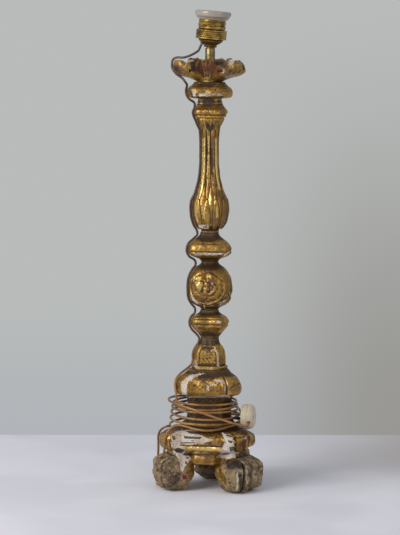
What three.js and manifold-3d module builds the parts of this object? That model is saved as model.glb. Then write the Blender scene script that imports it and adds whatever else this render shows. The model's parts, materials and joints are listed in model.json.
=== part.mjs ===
// A three-sided carved and gilded candlestick on three paw feet, fitted later as a lamp.
// Millimetres, +Z up. The front long face looks along -Y, and the corners and feet stand
// at -150, -30 and +90 degrees. The origin is on the ground, under the middle of the feet.
import * as THREE from "three";
import { mergeVertices } from "three/addons/utils/BufferGeometryUtils.js";
import Module from "manifold-3d";

// ---- Joints and clearances ----
const GLUE_GAP = 0.3; // between pieces that are glued or rest on each other
const SLIDE_GAP = 0.4; // round a tenon, a dowel or a tube in its bore
const TENON_RADIUS = 7;
const TENON_LENGTH = 9;

// ---- Paw feet ----
const FOOT_REACH = 53; // from the stand's axis to the middle of a paw
const PAW_WIDTH = 79; // across the toes
const PAW_LENGTH = 57; // from heel to toe
const LEG_TOP = 56; // ground to the top of a leg
const LEG_WIDTH = 46;
const LEG_LENGTH = 28;
const TOE_GROOVE_DEPTH = 4.5;
const TOE_GROOVE_ANGLE = 33.75; // degrees from one toe groove to the next
const FOOT_DOWEL_RADIUS = 5;
const FOOT_DOWEL_LENGTH = 26;

// ---- Base block and apron ----
const BASE_HEIGHT = 34;
const BASE_FACE = 51; // from the axis to a long face
const BASE_CORNER_RATIO = 1.2; // corner distance over face distance
const BASE_EAR = 0.18; // how far a corner scroll stands out, as a share
const BASE_TOP_FACE = 30;
const APRON_DEPTH = 20;
const APRON_FACE = 46;
const APRON_CORNER = 35;
const APRON_SCALLOP = 2.4;

// ---- Waist and knops: face distances and heights ----
const WAIST_HEIGHT = 40;
const WAIST_FACE = 21;
const LOWER_KNOP_HEIGHT = 35;
const LOWER_KNOP_FACE = 36;
const LOWER_KNOP_EAR = 0.22;
const KNOP_EAR = 0.06; // the smaller knops' and the pan collar's corners
const BELL_HEIGHT = 42;
const BELL_LEDGE_FACE = 20.4;
const BELL_FACE = 18.4;
const BELL_PANEL_DEPTH = 1.8;
const SMALL_KNOP_HEIGHT = 39;
const SMALL_KNOP_FACE = 22;
const BALL_HEIGHT = 67;
const BALL_FACE = 27.6;
const BALL_FRAME_RELIEF = 1.6;
const UPPER_KNOP_HEIGHT = 39;
const UPPER_KNOP_FACE = 25.4;
const VASE_HEIGHT = 156.5;
const VASE_FACE = 23.2;
const VASE_LEAF_DEPTH = 1.7;
const SHAFT_FACE = 11.2;
const SHAFT_COLLAR_HEIGHT = 27;
const SHAFT_COLLAR_FACE = 20.8;
const PAN_COLLAR_HEIGHT = 22;
const PAN_COLLAR_FACE = 26.2;
const NECK_FACE = 10.4; // the necks between the knops

// ---- Drip pan ----
const PAN_HEIGHT = 32;
const PAN_NECK_RADIUS = 17.5;
const PAN_PETAL_REACH = 51; // axis to the tip of a corner petal
const PAN_LEAF_REACH = 30; // axis to the tip of an upright leaf between petals
const PAN_WALL = 4;
const PAN_STEPS = 42;
const PAN_NOTCH = 7; // how deep the cut between two petals goes

// ---- Tube and holder ----
const TUBE_RADIUS = 6.7;
const TUBE_BORE_RADIUS = 5.7;
const TUBE_SHOWN = 14; // from the pan's rim to the tube's top
const TUBE_IN_COLLAR = 17; // how far the tube goes down into the shaft collar
const HOLDER_LEAN = 5; // degrees, loose on its nipple
const HOLDER_LEAN_HEADING = 11; // degrees from +X, the way it leans
const HOLDER_SEAT = 0.9; // cap above the tube's rim, so that it can lean
const NIPPLE_RADIUS = 5;
const NIPPLE_BORE_RADIUS = 3.8;
const NIPPLE_LENGTH = 16;
const NIPPLE_ABOVE_TUBE = 8;
const LOCK_NUT_RADIUS = 7;
const LOCK_NUT_HEIGHT = 2.5;
const CAP_NECK_RADIUS = 8.7;
const CAP_DOME_RADIUS = 17;
const CAP_NECK_HEIGHT = 3.4;
const CAP_DOME_HEIGHT = 7.2;
const CAP_WALL = 1.2;
const CAP_THREAD_RADIUS = 19.4;
const CAP_THREAD_HEIGHT = 8;
const GRUB_SCREW_RADIUS = 1;
const GRUB_SCREW_PROUD = 1;
const GRUB_SCREW_FROM_BUSH = 150; // degrees round from the bush
const SKIRT_RADIUS = 21;
const SKIRT_HEIGHT = 12.4;
const SKIRT_GROOVES = 4;
const SKIRT_GROOVE_DEPTH = 0.6;
const SHELL_RADIUS = 18.9;
const SHELL_WALL = 0.9;
const SHELL_HEIGHT = 35; // skirt edge to the shell's rim
const SHELL_THREAD_PITCH = 6.2;
const SHELL_THREAD_DEPTH = 0.9;
const RING_RADIUS = 24.2;
const RING_BOTTOM_RADIUS = 20.6;
const RING_CONE_HEIGHT = 6.5;
const RING_RIM_HEIGHT = 7.5;
const RING_LIP_RADIUS = 15.5;
const RING_SEAT = 12; // the ring's lower edge above the top of the skirt
const INSERT_RADIUS = 16.7;
const INSERT_HEIGHT = 9;
const SCREW_SHELL_RADIUS = 14; // outside; an E27 cap fits inside
const SCREW_SHELL_WALL = 0.7;
const SCREW_SHELL_HEIGHT = 22.4;
const CONTACT_WIDTH = 5;
const CONTACT_THICKNESS = 0.8;
const CONTACT_TRAVEL = 1.5;
const CONTACT_RISE = 3;
const TERMINAL_SCREW_RADIUS = 1.9;
const TERMINAL_SCREW_LENGTH = 4;

// ---- Flex and plug ----
const CORD_RADIUS = 1.6;
const BUSH_RADIUS = 2.7;
const BUSH_WALL = 0.9;
const BUSH_INSIDE = 1.4; // how far the bush reaches into the cap
const BUSH_OUTSIDE = 1.2;
const BUSH_SHARE = 0.2; // place of the bush along the dome's curve
const BUSH_HEADING = 191; // degrees, on the left of the holder
const WINDING_TURNS = 4.9;
const WINDING_START_ANGLE = 228; // degrees
const WINDING_TOP = 121.4;
const WINDING_RADIUS = 43;
const WINDING_SPREAD = 1.2; // growth of the radius in each turn
const WINDING_FALL = 3.2; // drop of the first turn
const WINDING_SAG = 0.8; // further drop, growing with the square of the turns
const WINDING_SHIFT = 7; // the turns hang over to the left
const TAIL_TURNS = 1.7; // of the last turn and its way to the plug
const PLUG_RADIUS = 17.2;
const PLUG_BASE_THICKNESS = 8;
const PLUG_COVER_THICKNESS = 9.6;
const PLUG_CENTRE = new THREE.Vector3(56.6, -13.4, 101.7);
const PLUG_PIN_HEADING = 181; // degrees, the way the pins point
const PLUG_ROLL = 63; // degrees, of the line through both pins from upright
const PLUG_PIN_SPACING = 19;
const PLUG_PIN_RADIUS = 2;
const PLUG_PIN_LENGTH = 18;
const PLUG_ENTRY_ANGLE = 70; // degrees from straight down towards the front
const PLUG_SCREW_RADIUS = 1.8;

const CORNER_ANGLE = 90; // a corner of every section
const DEGREE = Math.PI / 180;
const { Vector2, Vector3 } = THREE;

const wasm = await Module();
wasm.setup();

// ---- Materials ----
const material = (color, roughness, metalness = 0) =>
  new THREE.MeshStandardMaterial({ color, roughness, metalness });
const gilding = material(0x9a7a35, 0.45, 0.4);
const pawPaint = material(0x6e6350, 0.7);
const bareWood = material(0x7a5233, 0.75);
const brass = material(0x8a6a2a, 0.35, 0.9);
const porcelain = material(0xcfcac4, 0.25);
const steel = material(0x8c8c8a, 0.35, 0.9);
const flex = material(0xa97a48, 0.55);
const plugPlastic = material(0xcfc5a8, 0.4);
const bakelite = material(0x2a1c14, 0.5);

// ---- Solids ----

// The manifold solid of a closed three.js geometry.
function solidOf(geometry) {
  const bare = geometry.clone();
  for (const name of Object.keys(bare.attributes)) {
    if (name !== "position") bare.deleteAttribute(name);
  }
  const merged = mergeVertices(bare, 1e-4);
  return new wasm.Manifold(
    new wasm.Mesh({
      numProp: 3,
      vertProperties: merged.attributes.position.array,
      triVerts: new Uint32Array(merged.index.array),
    }),
  );
}

// A three.js geometry of a manifold solid.
function geometryOf(solid) {
  const mesh = solid.getMesh();
  const geometry = new THREE.BufferGeometry();
  const positions = new THREE.BufferAttribute(mesh.vertProperties, 3);
  geometry.setAttribute("position", positions);
  geometry.setIndex(new THREE.BufferAttribute(mesh.triVerts, 1));
  geometry.computeVertexNormals();
  return geometry;
}

function namedMesh(name, shape, finish) {
  const geometry = shape.isBufferGeometry ? shape : geometryOf(shape);
  const mesh = new THREE.Mesh(geometry, finish);
  mesh.name = name;
  return mesh;
}

// An upright cylinder from one height to another.
function post(radius, bottom, top, sides = 16, x = 0, y = 0) {
  const geometry = new THREE.CylinderGeometry(radius, radius, top - bottom, sides);
  geometry.rotateX(Math.PI / 2).translate(x, y, (top + bottom) / 2);
  return solidOf(geometry);
}

// A box from one height to another, its middle at x, y.
function boxSolid(width, depth, bottom, top, x = 0, y = 0) {
  const geometry = new THREE.BoxGeometry(width, depth, top - bottom);
  geometry.translate(x, y, (top + bottom) / 2);
  return solidOf(geometry);
}

// A turned shape: a closed profile of [radius, height] pairs about the Z axis.
function turned(profile, sides = 24) {
  const points = profile.map(([radius, height]) => new Vector2(radius, height));
  if (profile[0][0] > 0) points.push(points[0].clone());
  const geometry = new THREE.LatheGeometry(points, sides);
  geometry.rotateX(Math.PI / 2);
  return solidOf(geometry);
}

// Closes a stack of rings, each the same number of points, into one body.
function loft(rings) {
  const count = rings[0].length;
  const middle = (ring) =>
    ring.reduce((sum, point) => sum.add(point), new Vector3()).divideScalar(count);
  const points = rings.flat();
  const bottom = points.push(middle(rings[0])) - 1;
  const top = points.push(middle(rings.at(-1))) - 1;
  const faces = [];
  for (let step = 0; step < count; step++) {
    const next = (step + 1) % count;
    const last = (rings.length - 1) * count;
    faces.push(bottom, next, step);
    faces.push(top, last + step, last + next);
    for (let row = 0; row < rings.length - 1; row++) {
      const low = row * count;
      const high = low + count;
      faces.push(low + step, low + next, high + next);
      faces.push(low + step, high + next, high + step);
    }
  }
  const geometry = new THREE.BufferGeometry().setFromPoints(points);
  geometry.setIndex(faces);
  return geometry;
}

const anglesRound = (steps) =>
  Array.from({ length: steps }, (_, step) => (2 * Math.PI * step) / steps);

// ---- The three-sided carved section ----

// 1 on the line of a corner, 0 a sixth of a turn away from it.
const towardsCorner = (angle) => 0.5 + 0.5 * Math.cos(3 * (angle - CORNER_ANGLE * DEGREE));

// Distance from the axis to a softened outline of three long faces and three corner facets.
function sectionRadius(angle, face, cornerRatio, crispness) {
  let sum = 0;
  for (let side = 0; side < 6; side++) {
    const facing = Math.cos(angle - (CORNER_ANGLE + side * 60) * DEGREE);
    const distance = side % 2 ? face : face * cornerRatio;
    if (facing > 0) sum += (facing / distance) ** crispness;
  }
  return sum ** (-1 / crispness);
}

// A carved block: an outline of (face distance, height) swept round the section.
// ear(share of the height) is how far the corner scrolls stand out, and relief(angle, share)
// is added to the radius.
function carved(outline, { cornerRatio, crispness = 14, ear, steps = 30, relief }) {
  const bottom = outline[0].y;
  const height = outline.at(-1).y - bottom;
  const rings = outline.map((point) =>
    anglesRound(steps).map((angle) => {
      const share = (point.y - bottom) / height;
      let radius = sectionRadius(angle, point.x, cornerRatio, crispness);
      if (ear) radius *= 1 + ear(share) * towardsCorner(angle) ** 4;
      if (relief) radius += relief(angle, share);
      return new Vector3(radius * Math.cos(angle), radius * Math.sin(angle), point.y);
    }),
  );
  return solidOf(loft(rings));
}

// The outline of a knop: a neck, a swelling that is widest at the given share, a neck.
// low and high are the shares of the height where the swelling starts and ends.
function knopOutline(necks, widest, height, { share, low, high }) {
  const path = new THREE.Path();
  path.moveTo(necks, 0);
  path.bezierCurveTo(necks, height * 0.14, widest, height * low, widest, height * share);
  path.bezierCurveTo(widest, height * high, necks, height * 0.78, necks, height);
  return path.getPoints(3);
}

// Adds the tenon on a block's top and cuts the mortise in its underside.
function joined(block, height, { tenon = true, mortise = true } = {}) {
  let solid = block;
  if (tenon) solid = solid.add(post(TENON_RADIUS, height - 1, height + TENON_LENGTH));
  if (mortise) solid = solid.subtract(mortiseCut());
  return solid;
}

const mortiseCut = () => post(TENON_RADIUS + SLIDE_GAP, -1, TENON_LENGTH + SLIDE_GAP);

// ---- The stack of blocks ----
const stand = new THREE.Group();
let stackTop = LEG_TOP + GLUE_GAP;

// Seats a block on the stack and returns its height above the ground.
function seat(name, solid, height) {
  const mesh = namedMesh(name, solid, gilding);
  mesh.position.z = stackTop;
  stand.add(mesh);
  stackTop += height + GLUE_GAP;
  return mesh.position.z;
}

// ---- Base block ----
const FOOT_ANGLES = { front_left: -150, front_right: -30, back: 90 };

function baseBlock() {
  const path = new THREE.Path();
  path.moveTo(BASE_FACE - 5, 0);
  path.quadraticCurveTo(BASE_FACE, 1.5, BASE_FACE, BASE_HEIGHT * 0.3);
  path.lineTo(BASE_FACE, BASE_HEIGHT * 0.47);
  const shoulder = { x: BASE_FACE * 0.74, y: BASE_HEIGHT * 0.81 };
  path.quadraticCurveTo(BASE_FACE - 0.5, BASE_HEIGHT * 0.71, shoulder.x, shoulder.y);
  path.quadraticCurveTo(BASE_FACE * 0.65, BASE_HEIGHT * 0.9, BASE_TOP_FACE, BASE_HEIGHT);
  const ear = (share) => BASE_EAR * (1 - THREE.MathUtils.smoothstep(share, 0.6, 0.95));
  const shape = { cornerRatio: BASE_CORNER_RATIO, ear, steps: 36 };
  const block = carved(path.getPoints(3), shape);
  let solid = joined(block.add(apron()), BASE_HEIGHT, { mortise: false });
  for (const angle of Object.values(FOOT_ANGLES)) {
    solid = solid.subtract(footDowelHole(angle, -1, footDowelAbove() + SLIDE_GAP));
  }
  return solid;
}

// The apron below the base block, scalloped along its lower edge.
function apron() {
  const ring = (height, scallop) =>
    anglesRound(36).map((angle) => {
      const radius = sectionRadius(angle, APRON_FACE, APRON_CORNER / APRON_FACE, 16);
      const wave = scallop * Math.cos(12 * angle);
      return new Vector3(radius * Math.cos(angle), radius * Math.sin(angle), height + wave);
    });
  return solidOf(loft([ring(-APRON_DEPTH + APRON_SCALLOP, APRON_SCALLOP), ring(2, 0)]));
}

const footDowelAbove = () => FOOT_DOWEL_LENGTH * 0.45;

function footDowelHole(angle, bottom, top) {
  const x = FOOT_REACH * Math.cos(angle * DEGREE);
  const y = FOOT_REACH * Math.sin(angle * DEGREE);
  return post(FOOT_DOWEL_RADIUS + SLIDE_GAP, bottom, top, 16, x, y);
}

// ---- Paw feet ----

// One row of a paw: share of the length and width, height, and how far it is shifted outwards.
function pawRow(lengthShare, widthShare, height, shift, toes) {
  const halfLength = (PAW_LENGTH * lengthShare) / 2;
  const halfWidth = (PAW_WIDTH * widthShare) / 2;
  return anglesRound(32).map((angle) => {
    let radius = 1 / Math.hypot(Math.cos(angle) / halfLength, Math.sin(angle) / halfWidth);
    const fromToe = Math.atan2(Math.sin(angle), Math.cos(angle)) / DEGREE;
    if (Math.abs(fromToe) < 2.2 * TOE_GROOVE_ANGLE) {
      const between = Math.abs(Math.sin((fromToe / TOE_GROOVE_ANGLE) * Math.PI));
      radius += toes * TOE_GROOVE_DEPTH * (Math.sqrt(between) - 0.5);
    }
    return new Vector3(shift + radius * Math.cos(angle), radius * Math.sin(angle), height);
  });
}

function pawFoot() {
  const leg = [LEG_LENGTH / PAW_LENGTH, LEG_WIDTH / PAW_WIDTH];
  const rows = [
    pawRow(0.48, 0.39, 0, 0, 0.5),
    pawRow(0.7, 0.62, LEG_TOP * 0.08, 0, 0.8),
    pawRow(0.89, 0.86, LEG_TOP * 0.24, 0, 1),
    pawRow(1, 1, LEG_TOP * 0.46, 0, 1),
    pawRow(0.96, 0.98, LEG_TOP * 0.61, 0, 0.9),
    pawRow(0.8, 0.86, LEG_TOP * 0.72, 0, 0.5),
    pawRow(leg[0] * 1.06, leg[1], LEG_TOP * 0.8, 1, 0.1),
    pawRow(leg[0], leg[1] * 0.96, LEG_TOP, 2, 0),
  ];
  const bottom = LEG_TOP - (FOOT_DOWEL_LENGTH - footDowelAbove()) - SLIDE_GAP;
  const heel = APRON_CORNER + GLUE_GAP - FOOT_REACH; // the apron's corner, from the foot's axis
  const behind = boxSolid(40, PAW_WIDTH + 2, LEG_TOP - APRON_DEPTH, LEG_TOP, heel - 20);
  return solidOf(loft(rows))
    .subtract(post(FOOT_DOWEL_RADIUS + SLIDE_GAP, bottom, LEG_TOP + 1, 16))
    .subtract(behind);
}

for (const [place, angle] of Object.entries(FOOT_ANGLES)) {
  const leg = new THREE.Group();
  leg.rotation.z = angle * DEGREE;
  const foot = namedMesh(`paw_foot_${place}`, pawFoot(), pawPaint);
  foot.position.x = FOOT_REACH;
  const dowelBottom = LEG_TOP - (FOOT_DOWEL_LENGTH - footDowelAbove());
  const dowelTop = LEG_TOP + footDowelAbove();
  const dowel = namedMesh(
    `foot_dowel_${place}`,
    post(FOOT_DOWEL_RADIUS, dowelBottom, dowelTop, 16, FOOT_REACH),
    bareWood,
  );
  leg.add(foot, dowel);
  stand.add(leg);
}

seat("base_block", baseBlock(), BASE_HEIGHT);

// ---- Waist, knops, vase and collars ----
function waistBlock() {
  const path = new THREE.Path();
  path.moveTo(BASE_TOP_FACE - 1, 0);
  path.quadraticCurveTo(WAIST_FACE, WAIST_HEIGHT * 0.12, WAIST_FACE, WAIST_HEIGHT * 0.45);
  path.quadraticCurveTo(WAIST_FACE, WAIST_HEIGHT * 0.82, WAIST_FACE + 6, WAIST_HEIGHT);
  return joined(carved(path.getPoints(3), { cornerRatio: 1.2 }), WAIST_HEIGHT);
}
seat("waist_block", waistBlock(), WAIST_HEIGHT);

function lowerKnop() {
  const face = LOWER_KNOP_FACE;
  const height = LOWER_KNOP_HEIGHT;
  const path = new THREE.Path();
  path.moveTo(face * 0.8, 0);
  path.lineTo(face * 0.92, height * 0.03);
  path.quadraticCurveTo(face * 1.01, height * 0.1, face, height * 0.26);
  path.quadraticCurveTo(face * 0.99, height * 0.56, face * 0.82, height * 0.74);
  path.quadraticCurveTo(face * 0.66, height * 0.85, BELL_LEDGE_FACE + 0.6, height);
  const shape = { cornerRatio: 1.17, ear: () => LOWER_KNOP_EAR, steps: 36 };
  return joined(carved(path.getPoints(3), shape), height);
}
seat("lower_knop", lowerKnop(), LOWER_KNOP_HEIGHT);

// Angle from the middle of the nearest long face, in radians.
function fromFaceMiddle(angle) {
  const third = (2 * Math.PI) / 3;
  const turned = angle - (CORNER_ANGLE + 60) * DEGREE;
  return turned - third * Math.round(turned / third);
}

// 1 inside a band, falling to 0 over a soft edge.
const band = (value, half, edge) => THREE.MathUtils.clamp((half - Math.abs(value)) / edge, 0, 1);

function bellBlock() {
  const height = BELL_HEIGHT;
  const path = new THREE.Path();
  path.moveTo(BELL_LEDGE_FACE, 0);
  path.lineTo(BELL_LEDGE_FACE, height * 0.09);
  path.lineTo(BELL_FACE, height * 0.12);
  path.lineTo(BELL_FACE * 0.97, height * 0.42);
  path.quadraticCurveTo(BELL_FACE * 0.92, height * 0.66, BELL_FACE * 0.68, height * 0.8);
  path.quadraticCurveTo(NECK_FACE, height * 0.87, NECK_FACE, height);
  const relief = (angle, share) =>
    -BELL_PANEL_DEPTH * band(fromFaceMiddle(angle), 0.5, 0.17) * band(share - 0.42, 0.3, 0.06);
  return joined(carved(path.getPoints(3), { cornerRatio: 1.22, steps: 36, relief }), height);
}
seat("bell_block", bellBlock(), BELL_HEIGHT);

function smallKnop() {
  const swelling = { share: 0.57, low: 0.34, high: 0.86 };
  const outline = knopOutline(NECK_FACE, SMALL_KNOP_FACE, SMALL_KNOP_HEIGHT, swelling);
  return joined(carved(outline, { cornerRatio: 1.2, ear: () => KNOP_EAR }), SMALL_KNOP_HEIGHT);
}
seat("small_knop", smallKnop(), SMALL_KNOP_HEIGHT);

// The ball has an oval frame on each face, round a fan of shell ribs.
function ballKnop() {
  const height = BALL_HEIGHT;
  const face = BALL_FACE;
  const path = new THREE.Path();
  const low = { x: face * 0.64, y: height * 0.08 };
  const high = { x: face * 0.6, y: height * 0.89 };
  path.moveTo(NECK_FACE + 0.6, 0);
  path.quadraticCurveTo(NECK_FACE + 0.6, height * 0.04, low.x, low.y);
  path.bezierCurveTo(face * 0.96, height * 0.15, face, height * 0.3, face, height * 0.46);
  path.bezierCurveTo(face, height * 0.68, face * 0.86, height * 0.8, high.x, high.y);
  path.quadraticCurveTo(NECK_FACE, height * 0.94, NECK_FACE, height);
  const relief = (angle, share) => {
    const across = fromFaceMiddle(angle) / 0.72;
    const up = (share - 0.5) / 0.34;
    const oval = Math.hypot(across, up);
    const frame = Math.exp(-(((oval - 1) / 0.2) ** 2));
    const shell = oval < 0.85 ? 0.5 * Math.cos(Math.atan2(across, up + 0.9) * 12) : 0;
    return BALL_FRAME_RELIEF * (frame + shell * 0.6);
  };
  const shape = { cornerRatio: 1.12, crispness: 7, steps: 36, relief };
  return joined(carved(path.getPoints(3), shape), height);
}
seat("ball_knop", ballKnop(), BALL_HEIGHT);

function upperKnop() {
  const swelling = { share: 0.42, low: 0.1, high: 0.72 };
  const outline = knopOutline(NECK_FACE, UPPER_KNOP_FACE, UPPER_KNOP_HEIGHT, swelling);
  return joined(carved(outline, { cornerRatio: 1.2, ear: () => KNOP_EAR }), UPPER_KNOP_HEIGHT);
}
seat("upper_knop", upperKnop(), UPPER_KNOP_HEIGHT);

// A vase of long leaves whose tips run up a slender reeded shaft.
function vaseBaluster() {
  const height = VASE_HEIGHT;
  const face = VASE_FACE;
  const slim = SHAFT_FACE;
  const path = new THREE.Path();
  path.moveTo(NECK_FACE + 1, 0);
  path.lineTo(NECK_FACE + 2.4, height * 0.02);
  const waist = { x: face * 0.92, y: height * 0.31 };
  path.bezierCurveTo(face, height * 0.07, face * 1.16, height * 0.2, waist.x, waist.y);
  path.bezierCurveTo(face * 0.68, height * 0.4, slim, height * 0.49, slim, height * 0.7);
  path.bezierCurveTo(slim, height * 0.85, slim, height * 0.92, slim * 1.42, height);
  const relief = (angle, share) => {
    const leaf = Math.sqrt(Math.abs(Math.cos(6 * angle))) - 1;
    const start = THREE.MathUtils.clamp(share / 0.1, 0, 1);
    const fade = 1 - 0.6 * THREE.MathUtils.clamp((share - 0.35) / 0.2, 0, 1);
    const end = THREE.MathUtils.clamp((1 - share) / 0.12, 0, 1);
    return VASE_LEAF_DEPTH * leaf * start * fade * end;
  };
  const shape = { cornerRatio: 1.07, crispness: 8, steps: 48, relief };
  return joined(carved(path.getPoints(3), shape), height);
}
seat("vase_baluster", vaseBaluster(), VASE_HEIGHT);

// The tube passes through the pan and the collars, in one bore.
function boredForTube(solid, bottom, height) {
  return solid.subtract(post(TUBE_RADIUS + SLIDE_GAP, bottom, height + 1, 26));
}

function shaftCollar() {
  const height = SHAFT_COLLAR_HEIGHT;
  const face = SHAFT_COLLAR_FACE;
  const path = new THREE.Path();
  path.moveTo(face * 0.8, 0);
  path.lineTo(face * 0.92, height * 0.07);
  path.quadraticCurveTo(face * 0.96, height * 0.13, face * 0.93, height * 0.18);
  path.quadraticCurveTo(face * 1.08, height * 0.28, face * 0.96, height * 0.44);
  path.quadraticCurveTo(face * 0.82, height * 0.56, face * 0.74, height * 0.68);
  path.quadraticCurveTo(face * 0.67, height * 0.84, face * 0.67, height);
  const block = carved(path.getPoints(2), { cornerRatio: 1.15 });
  const bored = boredForTube(block, height - TUBE_IN_COLLAR - GLUE_GAP, height);
  return bored.subtract(mortiseCut());
}
seat("shaft_collar", shaftCollar(), SHAFT_COLLAR_HEIGHT);

function panCollar() {
  const height = PAN_COLLAR_HEIGHT;
  const face = PAN_COLLAR_FACE;
  const path = new THREE.Path();
  path.moveTo(face * 0.76, 0);
  path.lineTo(face * 0.92, height * 0.05);
  path.quadraticCurveTo(face * 1.04, height * 0.2, face, height * 0.4);
  path.quadraticCurveTo(face * 0.97, height * 0.6, face * 0.82, height * 0.76);
  path.quadraticCurveTo(face * 0.7, height * 0.88, face * 0.66, height);
  const block = carved(path.getPoints(2), { cornerRatio: 1.2, ear: () => KNOP_EAR });
  return boredForTube(block, -1, height);
}
const panCollarBottom = seat("pan_collar", panCollar(), PAN_COLLAR_HEIGHT);

// ---- Drip pan ----

// Share of the way from an upright leaf (0) to a broad corner petal (1).
function petalShare(angle) {
  return THREE.MathUtils.smoothstep(towardsCorner(angle), 0.12, 0.62);
}

// 1 on the line of a cut between a petal and a leaf.
function petalNotch(angle) {
  const fromCorner = 60 - Math.abs(fromFaceMiddle(angle)) / DEGREE;
  return Math.exp(-(((fromCorner - 37) / 5) ** 2));
}

function dripPan() {
  const height = PAN_HEIGHT;
  const spline = (pairs) =>
    new THREE.SplineCurve(pairs.map(([radius, share]) => new Vector2(radius, height * share)));
  const reach = PAN_PETAL_REACH;
  const leaf = PAN_LEAF_REACH;
  const neck = PAN_NECK_RADIUS;
  const underPetal = [[neck, 0], [reach * 0.58, 0.17], [reach * 0.82, 0.31], [reach * 0.97, 0.53]];
  const underLeaf = [[neck, 0], [neck * 1.12, 0.24], [leaf * 0.78, 0.5], [leaf * 0.94, 0.76]];
  const overPetal = [[reach * 0.95, 0.94], [reach * 0.82, 0.9], [reach * 0.6, 0.66], [neck, 0.5]];
  const overLeaf = [[leaf * 0.96, 1], [leaf - PAN_WALL, 0.9], [leaf * 0.66, 0.62], [neck * 0.8, 0.5]];
  const outside = {
    petal: spline([...underPetal, [reach, 0.72]]),
    leaf: spline([...underLeaf, [leaf, 0.97]]),
  };
  const inside = { petal: spline(overPetal), leaf: spline(overLeaf) };
  const ringOf = ({ petal, leaf: upright }, share, cut) =>
    anglesRound(PAN_STEPS).map((angle) => {
      const point = upright.getPoint(share).lerp(petal.getPoint(share), petalShare(angle));
      const notch = petalNotch(angle) * PAN_NOTCH * cut;
      const radius = point.x - notch;
      return new Vector3(
        radius * Math.cos(angle),
        radius * Math.sin(angle),
        point.y - notch * 0.9,
      );
    });
  const rise = [0, 0.2, 0.4, 0.6, 0.8, 1];
  const fall = [0, 0.25, 0.5, 0.75, 1];
  const rings = [
    ...rise.map((share) => ringOf(outside, share, share ** 2)),
    ...fall.map((share) => ringOf(inside, share, (1 - share) ** 2)),
  ];
  return boredForTube(solidOf(loft(rings)), -1, height);
}
const panBottom = seat("drip_pan", dripPan(), PAN_HEIGHT);

// ---- Brass tube ----
const tubeTop = panBottom + PAN_HEIGHT + TUBE_SHOWN;
const tubeBottom = panCollarBottom - GLUE_GAP - TUBE_IN_COLLAR;

function brassTube() {
  return turned([
    [TUBE_BORE_RADIUS, tubeBottom],
    [TUBE_RADIUS, tubeBottom],
    [TUBE_RADIUS, tubeTop],
    [TUBE_BORE_RADIUS, tubeTop],
  ]);
}
stand.add(namedMesh("brass_tube", brassTube(), brass));

// ---- Lamp holder, in a frame that leans on the tube's top ----
const holder = new THREE.Group();
holder.position.z = tubeTop;
const leanAxis = (HOLDER_LEAN_HEADING + 90) * DEGREE;
holder.quaternion.setFromAxisAngle(
  new Vector3(Math.cos(leanAxis), Math.sin(leanAxis), 0),
  HOLDER_LEAN * DEGREE,
);
stand.add(holder);

const addToHolder = (name, solid, finish) => holder.add(namedMesh(name, solid, finish));

function nipple() {
  const top = NIPPLE_ABOVE_TUBE;
  const bottom = top - NIPPLE_LENGTH;
  return turned(
    [
      [NIPPLE_BORE_RADIUS, bottom],
      [NIPPLE_RADIUS, bottom],
      [NIPPLE_RADIUS, top],
      [NIPPLE_BORE_RADIUS, top],
    ],
    24,
  );
}
addToHolder("threaded_nipple", nipple(), brass);

const capBottom = HOLDER_SEAT;
const neckTop = capBottom + CAP_NECK_HEIGHT;
const capFloor = neckTop + CAP_WALL * 0.6;
const domeTop = neckTop + CAP_DOME_HEIGHT;
const capThreadTop = domeTop + CAP_THREAD_HEIGHT;

// The bowl of the cap, from its neck to its rim.
const dome = new THREE.QuadraticBezierCurve(
  new Vector2(CAP_NECK_RADIUS, neckTop),
  new Vector2(CAP_DOME_RADIUS * 0.92, neckTop + CAP_DOME_HEIGHT * 0.3),
  new Vector2(CAP_DOME_RADIUS, domeTop),
);

// The frame of the bush: on the dome, its Z axis square to the dome and outwards.
function bushFrame() {
  const point = dome.getPoint(BUSH_SHARE);
  const tangent = dome.getTangent(BUSH_SHARE);
  const heading = BUSH_HEADING * DEGREE;
  const along = (radius, height) =>
    new Vector3(radius * Math.cos(heading), radius * Math.sin(heading), height);
  const frame = new THREE.Object3D();
  frame.position.copy(along(point.x, point.y));
  const outwards = along(tangent.y, -tangent.x).normalize();
  frame.quaternion.setFromUnitVectors(new Vector3(0, 0, 1), outwards);
  frame.updateMatrix();
  return frame;
}

function holderCap() {
  const points = dome.getPoints(4).map((point) => [point.x, point.y]);
  const inner = dome
    .getPoints(4)
    .reverse()
    .map((point) => [point.x - CAP_WALL, point.y + CAP_WALL * 0.6]);
  const bore = NIPPLE_RADIUS + SLIDE_GAP;
  const solid = turned([
    [bore, capBottom],
    [CAP_NECK_RADIUS, capBottom],
    ...points,
    [CAP_THREAD_RADIUS, domeTop + GLUE_GAP * 2],
    [CAP_THREAD_RADIUS, capThreadTop],
    [CAP_THREAD_RADIUS - CAP_WALL, capThreadTop],
    [CAP_THREAD_RADIUS - CAP_WALL, domeTop + CAP_WALL * 1.6],
    ...inner,
    [bore, capFloor],
  ]);
  const frame = bushFrame();
  const bushHole = post(BUSH_RADIUS + GLUE_GAP, -BUSH_INSIDE * 2, BUSH_OUTSIDE + 1, 20);
  const screwHole = grubScrew(GRUB_SCREW_RADIUS + GLUE_GAP, NIPPLE_RADIUS, CAP_NECK_RADIUS + 1);
  return solid.subtract(bushHole.transform(frame.matrix.elements)).subtract(screwHole);
}

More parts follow.
